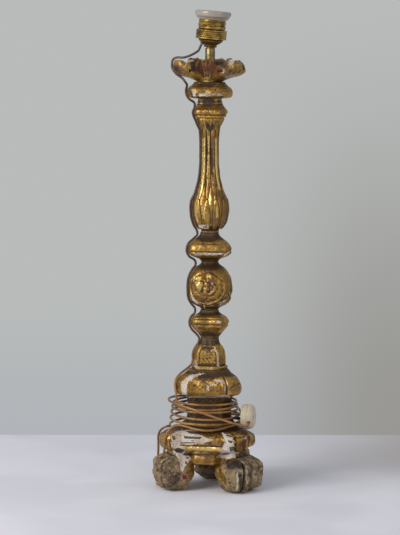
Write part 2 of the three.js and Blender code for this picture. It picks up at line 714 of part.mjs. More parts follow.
// The grub screw, or its hole, goes through the cap's neck opposite the bush.
function grubScrew(radius, from, to) {
  const screw = new THREE.CylinderGeometry(radius, radius, to - from, 12);
  screw.rotateZ(-Math.PI / 2).translate((from + to) / 2, 0, (capBottom + neckTop) / 2);
  screw.rotateZ((BUSH_HEADING + GRUB_SCREW_FROM_BUSH) * DEGREE);
  return solidOf(screw);
}
addToHolder("holder_cap", holderCap(), brass);
addToHolder(
  "grub_screw",
  grubScrew(GRUB_SCREW_RADIUS, NIPPLE_RADIUS + GLUE_GAP, CAP_NECK_RADIUS + GRUB_SCREW_PROUD),
  steel,
);

function cordBush() {
  const bore = BUSH_RADIUS - BUSH_WALL;
  const bush = turned(
    [
      [bore, -BUSH_INSIDE],
      [BUSH_RADIUS, -BUSH_INSIDE],
      [BUSH_RADIUS, BUSH_OUTSIDE],
      [bore, BUSH_OUTSIDE],
    ],
    20,
  );
  return bush.transform(bushFrame().matrix.elements);
}
addToHolder("cord_bush", cordBush(), bakelite);

function lockNut() {
  const bottom = capFloor + GLUE_GAP;
  const nut = post(LOCK_NUT_RADIUS, bottom, bottom + LOCK_NUT_HEIGHT, 6);
  const bore = post(NIPPLE_RADIUS + GLUE_GAP, bottom - 1, bottom + LOCK_NUT_HEIGHT + 1);
  return nut.subtract(bore);
}
addToHolder("lock_nut", lockNut(), brass);

// ---- Porcelain insert, contacts and screw shell ----
const insertBottom = Math.max(
  domeTop + CAP_WALL * 1.6 + GLUE_GAP,
  NIPPLE_ABOVE_TUBE + GLUE_GAP,
);
const insertTop = insertBottom + INSERT_HEIGHT;
const CONTACT_SLOT = CONTACT_WIDTH + 2 * SLIDE_GAP;

const sideContactPlace = SCREW_SHELL_RADIUS - SCREW_SHELL_WALL - 2.6;
const terminalPlace = INSERT_RADIUS - TERMINAL_SCREW_LENGTH * 0.5;

// A terminal screw lies across the insert, with its head flush in the insert's side.
function terminalScrew(radius, length, side) {
  const screw = new THREE.CylinderGeometry(radius, radius, length, 12);
  screw.translate(0, side * terminalPlace, 0);
  screw.translate(0, 0, insertBottom + INSERT_HEIGHT * 0.4);
  return solidOf(screw);
}

function porcelainInsert() {
  let solid = post(INSERT_RADIUS, insertBottom, insertTop, 24);
  const spring = CONTACT_TRAVEL + CONTACT_THICKNESS + GLUE_GAP * 2;
  solid = solid.subtract(boxSolid(CONTACT_SLOT, CONTACT_SLOT, insertTop - spring, insertTop + 1));
  for (const side of [-1, 1]) {
    const clear = TERMINAL_SCREW_RADIUS + GLUE_GAP;
    solid = solid.subtract(terminalScrew(clear, TERMINAL_SCREW_LENGTH + 2 * GLUE_GAP, side));
  }
  return solid;
}
addToHolder("porcelain_insert", porcelainInsert(), porcelain);

for (const [name, side] of [["left", -1], ["right", 1]]) {
  const screw = terminalScrew(TERMINAL_SCREW_RADIUS, TERMINAL_SCREW_LENGTH - GLUE_GAP, side);
  addToHolder(`terminal_screw_${name}`, screw, steel);
}

// The centre contact: a sprung tongue whose button stands over the insert.
const contactBottom = insertTop - CONTACT_THICKNESS;
function centreContact() {
  const tongue = boxSolid(CONTACT_WIDTH, CONTACT_WIDTH, contactBottom, insertTop);
  return tongue.add(post(CONTACT_WIDTH * 0.4, insertTop - 0.2, insertTop + CONTACT_RISE, 12));
}
addToHolder("centre_contact", centreContact(), brass);

function sideContact() {
  const bottom = insertTop + GLUE_GAP;
  const foot = boxSolid(4, 3.6, bottom, bottom + CONTACT_THICKNESS, 0, sideContactPlace - 1);
  const spring = boxSolid(4, CONTACT_THICKNESS, bottom, bottom + 5, 0, sideContactPlace + 1.2);
  return foot.add(spring);
}
addToHolder("side_contact", sideContact(), brass);

function screwShell() {
  const bottom = insertTop + GLUE_GAP;
  const top = bottom + SCREW_SHELL_HEIGHT;
  const outer = SCREW_SHELL_RADIUS;
  return turned([
    [outer - SCREW_SHELL_WALL, bottom],
    [outer, bottom],
    [outer, top - 1],
    [outer + 0.6, top],
    [outer + 0.6 - SCREW_SHELL_WALL, top],
    [outer - SCREW_SHELL_WALL, top - 1],
  ]);
}
addToHolder("screw_shell", screwShell(), brass);

// ---- Holder shell and shade ring ----
const skirtBottom = domeTop + GLUE_GAP;
const skirtTop = skirtBottom + SKIRT_HEIGHT;
const shellTop = skirtBottom + SHELL_HEIGHT;

function holderShell() {
  const profile = [[CAP_THREAD_RADIUS + GLUE_GAP, skirtBottom]];
  const pitch = SKIRT_HEIGHT / (SKIRT_GROOVES + 1);
  profile.push([SKIRT_RADIUS, skirtBottom]);
  for (let groove = 1; groove <= SKIRT_GROOVES; groove++) {
    const height = skirtBottom + groove * pitch;
    profile.push([SKIRT_RADIUS, height - 0.6]);
    profile.push([SKIRT_RADIUS - SKIRT_GROOVE_DEPTH, height]);
    profile.push([SKIRT_RADIUS, height + 0.6]);
  }
  profile.push([SKIRT_RADIUS, skirtTop - 0.4]);
  const steps = 3;
  const turns = Math.floor((shellTop - skirtTop) / SHELL_THREAD_PITCH);
  for (let step = 0; step <= turns * steps; step++) {
    const wave = (1 - Math.cos((2 * Math.PI * step) / steps)) / 2;
    const height = skirtTop + 0.2 + (step * SHELL_THREAD_PITCH) / steps;
    profile.push([SHELL_RADIUS - SHELL_THREAD_DEPTH * (1 - wave), height]);
  }
  profile.push([SHELL_RADIUS - SHELL_THREAD_DEPTH, shellTop]);
  const innerShell = SHELL_RADIUS - SHELL_THREAD_DEPTH - SHELL_WALL;
  const lip = SCREW_SHELL_RADIUS + 0.6 + GLUE_GAP;
  profile.push([lip, shellTop]);
  profile.push([lip, shellTop - SHELL_WALL]);
  profile.push([innerShell, shellTop - SHELL_WALL]);
  profile.push([innerShell, capThreadTop + GLUE_GAP + SHELL_WALL]);
  profile.push([CAP_THREAD_RADIUS + GLUE_GAP, capThreadTop + GLUE_GAP]);
  return turned(profile);
}
addToHolder("holder_shell", holderShell(), brass);

const ringBottom = skirtTop + RING_SEAT;
const ringTop = ringBottom + RING_CONE_HEIGHT + RING_RIM_HEIGHT;

function shadeRing() {
  const bore = SHELL_RADIUS + GLUE_GAP;
  return turned(
    [
      [bore, ringBottom],
      [RING_BOTTOM_RADIUS, ringBottom],
      [RING_RADIUS - 0.5, ringBottom + RING_CONE_HEIGHT],
      [RING_RADIUS, ringBottom + RING_CONE_HEIGHT + 0.7],
      [RING_RADIUS, ringTop - 1],
      [RING_RADIUS - 1, ringTop],
      [RING_LIP_RADIUS, ringTop],
      [RING_LIP_RADIUS, shellTop + GLUE_GAP],
      [bore, shellTop + GLUE_GAP],
    ],
    28,
  );
}
addToHolder("shade_ring", shadeRing(), porcelain);

// ---- Plug, tucked against the turns on the right ----
const plug = new THREE.Group();
plug.position.copy(PLUG_CENTRE);
plug.rotation.set(0, 0, PLUG_PIN_HEADING * DEGREE);
stand.add(plug);

// In the plug's own frame the pins point along +X; turned shapes are laid over.
const laidOver = (solid) => solid.rotate([0, 90, 0]);
const plugBack = -(PLUG_BASE_THICKNESS + PLUG_COVER_THICKNESS) / 2;
const plugSplit = plugBack + PLUG_COVER_THICKNESS;
const plugFront = plugSplit + PLUG_BASE_THICKNESS;
const entryTurn = PLUG_ENTRY_ANGLE * DEGREE;
// Outwards through the entry: the front of the stand is on the plug's +Y side.
const entryOutwards = new Vector3(0, Math.sin(entryTurn), -Math.cos(entryTurn));
const entryMiddle = plugSplit - PLUG_COVER_THICKNESS * 0.35;

function entryHole(radius, from, to) {
  const geometry = new THREE.CylinderGeometry(radius, radius, to - from, 16);
  geometry.translate(0, (from + to) / 2, 0);
  const frame = new THREE.Object3D();
  frame.position.set(entryMiddle, 0, 0);
  frame.quaternion.setFromUnitVectors(new Vector3(0, 1, 0), entryOutwards);
  frame.updateMatrix();
  return solidOf(geometry).transform(frame.matrix.elements);
}

function plugCover() {
  const shape = laidOver(
    turned([
      [0, plugBack],
      [PLUG_RADIUS * 0.7, plugBack],
      [PLUG_RADIUS * 0.86, plugBack + 1.6],
      [PLUG_RADIUS * 0.97, plugBack + 4.4],
      [PLUG_RADIUS, plugBack + 6.6],
      [PLUG_RADIUS, plugSplit - GLUE_GAP],
      [0, plugSplit - GLUE_GAP],
    ]),
  );
  const entry = entryHole(CORD_RADIUS + 0.8, PLUG_RADIUS * 0.72, PLUG_RADIUS + 2);
  return plugScrewHoles(shape.subtract(entry));
}

function plugBase() {
  const shape = laidOver(
    turned([
      [0, plugSplit],
      [PLUG_RADIUS, plugSplit],
      [PLUG_RADIUS, plugFront - 3],
      [PLUG_RADIUS * 0.9, plugFront],
      [0, plugFront],
    ]),
  );
  const holes = [-1, 1].reduce(
    (solid, side) => solid.subtract(plugPin(side, PLUG_PIN_RADIUS + GLUE_GAP, plugSplit - 1, plugFront + 1)),
    shape,
  );
  return holes;
}

// A pin, or its hole, at one end of the line through both.
function plugPin(side, radius, from, to) {
  const geometry = new THREE.CylinderGeometry(radius, radius, to - from, 16);
  geometry.rotateZ(-Math.PI / 2).translate((from + to) / 2, 0, 0);
  const roll = PLUG_ROLL * DEGREE;
  const offset = (side * PLUG_PIN_SPACING) / 2;
  geometry.translate(0, offset * Math.sin(roll), offset * Math.cos(roll));
  return solidOf(geometry);
}

const plugScrewPlace = PLUG_RADIUS * 0.5;
function plugScrew(side, radius, from, to) {
  const geometry = new THREE.CylinderGeometry(radius, radius, to - from, 12);
  geometry.rotateZ(-Math.PI / 2);
  geometry.translate((from + to) / 2, side * plugScrewPlace, 0);
  return solidOf(geometry);
}

function plugScrewHoles(solid) {
  return [-1, 1].reduce(
    (left, side) =>
      left.subtract(plugScrew(side, PLUG_SCREW_RADIUS + GLUE_GAP, plugBack - 1, plugBack + 3)),
    solid,
  );
}

plug.add(namedMesh("plug_cover", plugCover(), plugPlastic));
plug.add(namedMesh("plug_base", plugBase(), plugPlastic));
for (const [name, side] of [["lower", -1], ["upper", 1]]) {
  const from = plugSplit + GLUE_GAP;
  const pin = plugPin(side, PLUG_PIN_RADIUS, from, plugFront + PLUG_PIN_LENGTH);
  plug.add(namedMesh(`plug_pin_${name}`, pin, brass));
}
for (const [name, side] of [["front", 1], ["rear", -1]]) {
  const screw = plugScrew(side, PLUG_SCREW_RADIUS, plugBack + 0.8, plugBack + 3 - GLUE_GAP);
  plug.add(namedMesh(`plug_screw_${name}`, screw, steel));
}

// ---- Flex ----
stand.updateMatrixWorld(true);

const polar = (degrees, radius, height) =>
  new Vector3(radius * Math.cos(degrees * DEGREE), radius * Math.sin(degrees * DEGREE), height);

// The middle of the flex in the winding, after a number of turns.
function windingPoint(turns) {
  const degrees = WINDING_START_ANGLE + 360 * turns;
  const radius = WINDING_RADIUS + WINDING_SPREAD * turns;
  const height = WINDING_TOP - WINDING_FALL * turns - WINDING_SAG * turns * turns;
  return polar(degrees, radius, height).add(polar(BUSH_HEADING, WINDING_SHIFT, 0));
}

const windingPoints = [];
const loopSteps = 24;
for (let step = 0; step <= Math.round(WINDING_TURNS * loopSteps); step++) {
  windingPoints.push(windingPoint(step / loopSteps));
}
const windingStart = windingPoints[0];
const windingEnd = windingPoints.at(-1);
const startDirection = windingPoints[1].clone().sub(windingStart).normalize();
const endDirection = windingEnd.clone().sub(windingPoints.at(-2)).normalize();
const stepAlong = (point, direction, distance) => point.clone().addScaledVector(direction, distance);
const straight = 2 * CORD_RADIUS; // every end runs straight for one diameter

// From the bush over the pan's left petal and down the left of the stem.
const bushWorld = new THREE.Matrix4().multiplyMatrices(holder.matrixWorld, bushFrame().matrix);
const exitPoint = new Vector3(0, 0, BUSH_OUTSIDE + GLUE_GAP).applyMatrix4(bushWorld);
const exitDirection = new Vector3(0, 0, 1).transformDirection(bushWorld);
const dropPoints = [
  exitPoint,
  stepAlong(exitPoint, exitDirection, straight),
  polar(190, 16, 603),
  polar(189, 21, 599.5),
  polar(187, 28, 596),
  polar(184, 37.5, 593.3),
  polar(181, 46, 593.3),
  polar(180, 51.3, 591.2),
  polar(181, 53, 585.5),
  polar(182, 52.3, 578.5),
  polar(184, 46.5, 571),
  polar(187, 38.5, 565.5),
  polar(192, 33.8, 560),
  polar(203, 34, 554.5),
  polar(213, 36.2, 549),
  polar(220, 36.4, 543.5),
  polar(224, 32, 538),
  polar(225, 25, 533),
  polar(223, 24, 528),
  polar(221, 27.2, 523),
  polar(219, 27.6, 516.5),
  polar(217, 23.8, 509.5),
  polar(214, 18.6, 502),
  polar(211, 15.6, 492),
  polar(207, 14.4, 470),
  polar(202, 15.8, 444),
  polar(198, 20.3, 420),
  polar(196, 26, 400),
  polar(196, 28.6, 382),
  polar(196, 25, 366),
  polar(196, 19, 355),
  polar(196, 22.5, 347),
  polar(196, 31.3, 340),
  polar(197, 34.5, 331.5),
  polar(197, 31.5, 323),
  polar(197, 22, 314.5),
  polar(197, 26.5, 304.5),
  polar(198, 34.5, 290),
  polar(198, 35.2, 276),
  polar(198, 33, 262),
  polar(198, 28, 254),
  polar(198, 21.5, 246),
  polar(198, 24.5, 240),
  polar(198, 30, 234),
  polar(198, 30.6, 228),
  polar(199, 25, 217.5),
  polar(200, 17, 208),
  polar(201, 21, 199),
  polar(202, 28, 189),
  polar(204, 33, 177),
  polar(207, 39, 165),
  polar(211, 47, 155),
  polar(214, 53, 146),
  polar(217, 54, 138),
  polar(219.5, 53, 130),
  stepAlong(windingStart, startDirection, -straight * 1.6),
  stepAlong(windingStart, startDirection, -GLUE_GAP),
];

const lastTurnStart = polar(235, 50.4, 90.6);
const lastTurnDirection = polar(318, 1, -0.15).normalize();

// The loop that hangs over the left of the base, between the winding and the last turn.
const hangPoints = [
  stepAlong(windingEnd, endDirection, GLUE_GAP),
  stepAlong(windingEnd, endDirection, straight * 1.3),
  polar(203, 61, 86),
  polar(200, 68.5, 81),
  polar(198, 71.8, 73),
  polar(197, 71.8, 63),
  polar(198, 72, 53),
  polar(203, 73.2, 47.8),
  polar(209.5, 74.2, 46),
  polar(216, 74, 47.8),
  polar(221, 73, 54),
  polar(222.5, 72.8, 64),
  polar(222.5, 72, 74),
  polar(223, 67, 84),
  polar(224.5, 61, 89.4),
  polar(227, 55, 91.2),
  stepAlong(lastTurnStart, lastTurnDirection, -straight * 1.3),
  stepAlong(lastTurnStart, lastTurnDirection, -GLUE_GAP),
];

// The last turn, up round the back, and across the front to the plug.
const entryWorld = plug.localToWorld(
  new Vector3(entryMiddle, 0, 0).addScaledVector(entryOutwards, PLUG_RADIUS * 0.72 + GLUE_GAP),
);
const entryDirection = entryOutwards.clone().transformDirection(plug.matrixWorld);
const tailPoints = [
  lastTurnStart,
  stepAlong(lastTurnStart, lastTurnDirection, straight * 1.3),
  polar(249, 49, 88.8),
  polar(261, 48.3, 87.2),
  polar(276, 48, 86.3),
  polar(295, 48, 87.5),
  polar(313, 47, 90),
  polar(330, 46.3, 90.8),
  polar(350, 46, 91.9),
  polar(372, 44.5, 97.5),
  polar(396, 45, 104.5),
  polar(420, 46.5, 112),
  polar(444, 49, 114.5),
  polar(468, 51.5, 117),
  polar(492, 53.5, 119.5),
  polar(516, 55.5, 121),
  polar(540, 57, 122),
  polar(560, 57, 121.5),
  polar(576, 55, 120.5),
  polar(595, 53, 118.5),
  polar(618, 52, 114.5),
  polar(635, 52, 109.5),
  polar(652, 52.5, 104),
  polar(666, 56, 99.5),
  polar(676, 62, 96),
  stepAlong(entryWorld, entryDirection, straight * 4),
  stepAlong(entryWorld, entryDirection, straight * 2.2),
  entryWorld,
];

// A round tube along points, with a flat section of the given sides.
function tubeAlong(points, sides, steps) {
  const curve = new THREE.CatmullRomCurve3(points, false, "centripetal");
  const section = new THREE.Shape();
  const flat = CORD_RADIUS / Math.sqrt(Math.cos(Math.PI / sides));
  section.setFromPoints(
    anglesRound(sides).map((angle) => new Vector2(flat * Math.cos(angle), flat * Math.sin(angle))),
  );
  const geometry = new THREE.ExtrudeGeometry(section, {
    steps,
    extrudePath: curve,
    bevelEnabled: false,
  });
  return { solid: solidOf(geometry), length: curve.getLength() };
}

let cordLength = 0;
function addCord(name, points, sides, steps) {
  const { solid, length } = tubeAlong(points, sides, steps);
  cordLength += length;
  stand.add(namedMesh(name, solid, flex));
}
addCord("cord_drop", dropPoints, 8, 62);
addCord("cord_winding", windingPoints, 6, windingPoints.length - 1);
addCord("cord_hanging_loop", hangPoints, 8, 18);
addCord("cord_tail", tailPoints, 6, Math.round(TAIL_TURNS * loopSteps));

// The least gap between two turns of the winding.
function leastGap(points) {
  let least = Infinity;
  points.forEach((point, index) => {
    for (let other = index + loopSteps / 3; other < points.length; other++) {
      least = Math.min(least, point.distanceTo(points[other]) - 2 * CORD_RADIUS);
    }
  });
  return least;
}
console.log(`winding: least gap ${leastGap(windingPoints).toFixed(2)} mm`);
console.log(`flex: ${(cordLength / 1000).toFixed(3)} m`);

// ---- The origin goes under the middle of the three feet ----
const feet = new THREE.Box3();
stand.updateMatrixWorld(true);
stand.traverse((piece) => {
  if (piece.isMesh && !/^(cord|plug)_/.test(piece.name)) feet.expandByObject(piece, true);
});
const middle = feet.getCenter(new Vector3());
stand.position.set(-middle.x, -middle.y, -feet.min.z);

export default stand;
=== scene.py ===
"""Looks for a carved, three-sided giltwood candlestick on paw feet that was later wired as a lamp.

Objects are in metres in the row frame, +Z up. Carving is worked out in millimetres, with the
stem's axis at x = y = 0 and heights above the ground, and is moved to the stem at the end.
"""

import json
import logging
import math
from collections.abc import Callable, Sequence
from dataclasses import dataclass, field
from enum import Enum

import bpy
import numpy as np
from mathutils import Matrix, Vector

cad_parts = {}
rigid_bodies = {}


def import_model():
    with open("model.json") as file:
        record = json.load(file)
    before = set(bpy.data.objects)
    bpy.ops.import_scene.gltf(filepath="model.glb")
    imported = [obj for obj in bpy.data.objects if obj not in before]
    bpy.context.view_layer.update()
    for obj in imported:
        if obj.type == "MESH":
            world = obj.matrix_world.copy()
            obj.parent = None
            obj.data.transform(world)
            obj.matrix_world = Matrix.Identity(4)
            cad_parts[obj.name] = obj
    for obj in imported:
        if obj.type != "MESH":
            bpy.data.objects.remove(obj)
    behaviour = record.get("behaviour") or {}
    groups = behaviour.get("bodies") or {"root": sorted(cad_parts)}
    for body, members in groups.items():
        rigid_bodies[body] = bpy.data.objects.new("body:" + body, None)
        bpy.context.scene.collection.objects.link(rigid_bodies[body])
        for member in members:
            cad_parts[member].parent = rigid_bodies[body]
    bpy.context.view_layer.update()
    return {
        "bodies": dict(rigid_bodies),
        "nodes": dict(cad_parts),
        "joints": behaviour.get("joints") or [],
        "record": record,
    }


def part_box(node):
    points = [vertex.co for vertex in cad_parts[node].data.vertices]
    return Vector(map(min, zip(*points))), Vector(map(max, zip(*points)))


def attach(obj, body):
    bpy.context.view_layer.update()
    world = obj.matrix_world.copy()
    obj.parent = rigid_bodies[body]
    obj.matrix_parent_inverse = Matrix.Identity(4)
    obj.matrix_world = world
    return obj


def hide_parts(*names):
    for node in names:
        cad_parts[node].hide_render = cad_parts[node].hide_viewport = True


LOG = logging.getLogger("candlestick")
MM = 0.001
THIRD = 2 * math.pi / 3
CORNER = math.pi / 2  # a corner of every carved section looks along +Y
FACE = CORNER + math.pi / 3  # and the middle of a long face is a sixth of a turn on
Array = np.ndarray
Point = tuple[float, float]
Place = tuple[float, float, float]
Relief = Callable[[Array, Array, Array], Array]  # how far out, from angle, height and radius
Fields = dict[str, Callable[[Array], Array]]  # attributes, from places in mm about the stem's axis


# ---- Numbers ----


def smooth(low: float, high: float, value: Array) -> Array:
    """0 below low, 1 above high, and an S curve between them."""
    share = np.clip((value - low) / (high - low), 0, 1)
    return share * share * (3 - 2 * share)


def bump(distance: Array, width: float) -> Array:
    """1 at no distance, falling to nothing over about twice the width."""
    return np.exp(-((distance / width) ** 2))


def rolls(place: Array, *each: Place) -> Array:
    """Raised rolls, or grooves where the depth is below 0, each given by depth, place and width."""
    return sum(depth * bump(place - at, width) for depth, at, width in each)


def polar(degrees: float, radius: float, height: float) -> Place:
    """The point at a direction, radius and height about the stem's axis."""
    turn = math.radians(degrees)
    return radius * math.cos(turn), radius * math.sin(turn), height


def around(columns: int) -> Array:
    """That many directions, evenly round the axis."""
    return np.linspace(0, 2 * math.pi, columns, endpoint=False)


def wrapped(radius: Array, angle: Array, height: Array) -> Array:
    """Points about the upright axis, with their three numbers last."""
    radius, angle, height = np.broadcast_arrays(radius, angle, height)
    return np.stack([radius * np.cos(angle), radius * np.sin(angle), height], -1)


def catmull(points: Array, per_span: int) -> Array:
    """A smooth line through points, as centripetal Catmull-Rom spans.

    Args:
        points: The points in order, one in each row.
        per_span: How many steps each span gets.

    Returns:
        The points of the line, with both ends.
    """
    padded = np.vstack([2 * points[0] - points[1], points, 2 * points[-1] - points[-2]])
    out = []
    share = np.linspace(0, 1, per_span, endpoint=False)[:, None]
    for a, b, c, d in zip(padded, padded[1:], padded[2:], padded[3:]):
        ab, bc, cd = (math.sqrt(np.linalg.norm(q - p)) or 1e-6 for p, q in ((a, b), (b, c), (c, d)))
        leave = ((b - a) / ab - (c - a) / (ab + bc) + (c - b) / bc) * bc
        arrive = ((c - b) / bc - (d - b) / (bc + cd) + (d - c) / cd) * bc
        bend = 2 * b - 2 * c + leave + arrive
        turn = -3 * b + 3 * c - 2 * leave - arrive
        out.append(b + leave * share + turn * share**2 + bend * share**3)
    return np.vstack([*out, points[-1]])


def to_sides(x: Array, y: Array, sides: Sequence[tuple[Point, Point]]) -> Array:
    """How far places are from the nearest of some straight sides."""
    best = np.full(x.shape, np.inf)
    for (ax, ay), (bx, by) in sides:
        dx, dy = bx - ax, by - ay
        along = np.clip(((x - ax) * dx + (y - ay) * dy) / (dx * dx + dy * dy + 1e-12), 0, 1)
        best = np.minimum(best, np.hypot(x - ax - along * dx, y - ay - along * dy))
    return best


def to_line(x: Array, y: Array, points: Sequence[Point]) -> Array:
    """How far places are from a smooth line through points."""
    line = catmull(np.array(points, float), per_span=6)
    return to_sides(x, y, list(zip(line, line[1:])))


def inside(x: Array, y: Array, corners: Sequence[Point]) -> Array:
    """Signed distance to a closed outline, above 0 inside it."""
    sides, odd = list(zip(corners, [*corners[1:], corners[0]])), np.zeros(x.shape, bool)
    for (ax, ay), (bx, by) in sides:
        if ay != by:
            odd ^= ((ay > y) != (by > y)) & (x < ax + (y - ay) * (bx - ax) / (by - ay))
    return to_sides(x, y, sides) * np.where(odd, 1, -1)


class Grain:
    """A smooth uneven field: many weak waves in seeded directions."""

    def __init__(self, wavelength: float, seed: int, waves: int = 28) -> None:
        """Args: wavelength in mm, a seed, and how many waves are summed."""
        rng = np.random.default_rng(seed)
        way = rng.normal(size=(waves, 3))
        way /= np.linalg.norm(way, axis=1)[:, None]
        self.waves = way * (2 * math.pi / wavelength * rng.uniform(0.6, 1.6, (waves, 1)))
        self.phases = rng.uniform(0, 2 * math.pi, waves)

    def at(self, points: Array) -> Array:
        """The field at points, mostly within -1 and 1."""
        total = np.zeros(points.shape[:-1])
        for wave, phase in zip(self.waves, self.phases):
            total += np.sin(points @ wave + phase)
        return total / math.sqrt(len(self.phases)) * 1.2


def add(name: str, data: bpy.types.ID) -> bpy.types.Object:
    """A new object of the scene."""
    made = bpy.data.objects.new(name, data)
    bpy.context.scene.collection.objects.link(made)
    return made


# ---- The photograph's view ----


@dataclass(frozen=True)
class PhotoView:
    """Where the picture was taken from, and what it puts on which pixel."""

    distance: float = 3.446  # level, from the stem's axis
    heading: float = -79.0  # degrees, from the stem to the camera
    height: float = 0.701
    pitch: float = 6.55  # degrees below level
    focal: float = 2520.0  # pixels
    axis_column: float = 210.1
    width: int = 400
    tall: int = 535

    def place(self, axis: Vector) -> Vector:
        """The camera's place."""
        turn = math.radians(self.heading)
        out = Vector((math.cos(turn), math.sin(turn), 0))
        return Vector((axis.x, axis.y, self.height)) + out * self.distance

    def axes(self) -> tuple[Vector, Vector, Vector]:
        """The camera's right, up and forward directions."""
        yaw = math.atan((self.axis_column - self.width / 2) / self.focal)
        turn = math.radians(self.heading + 180) + yaw
        fall = math.radians(self.pitch)
        level = Vector((math.cos(turn), math.sin(turn), 0))
        forward = level * math.cos(fall) - Vector((0, 0, math.sin(fall)))
        right = forward.cross(Vector((0, 0, 1))).normalized()
        return right, right.cross(forward), forward

    def pixels(self, points: Array, axis: Vector) -> tuple[Array, Array]:
        """Columns and rows of points in metres."""
        right, up, forward = (np.array(way) for way in self.axes())
        offset = points - np.array(self.place(axis))
        depth = offset @ forward
        column = self.width / 2 + self.focal * (offset @ right) / depth
        return column, self.tall / 2 - self.focal * (offset @ up) / depth

    def add_camera(self, axis: Vector) -> None:
        """Makes the scene's camera."""
        data = bpy.data.cameras.new("photo_view")
        data.sensor_width = 36
        data.lens = self.focal * data.sensor_width / self.tall
        right, up, forward = self.axes()
        turned = Matrix((right, up, -forward)).transposed().to_4x4()
        camera = add("photo_view", data)
        camera.matrix_world = Matrix.Translation(self.place(axis)) @ turned
        bpy.context.scene.camera = camera


class Mark(Enum):
    """What is drawn on the gilding: where it is hurt, and where highlights and shade are painted. The values
    name mesh attributes.
    """

    GESSO = "gesso"
    WOOD = "wood"
    DARK = "dark"
    BOLE = "bole"
    GILT = "gilt"
    LIGHT = "light"
    GLAZE = "glaze"


@dataclass(frozen=True)
class Patch:
    """A hurt place, a painted highlight or a patch of painted shade, drawn as an outline on the photograph's
    own pixels.
    """

    mark: Mark
    outline: tuple[Point, ...]
    edge: float  # pixels over which it fades


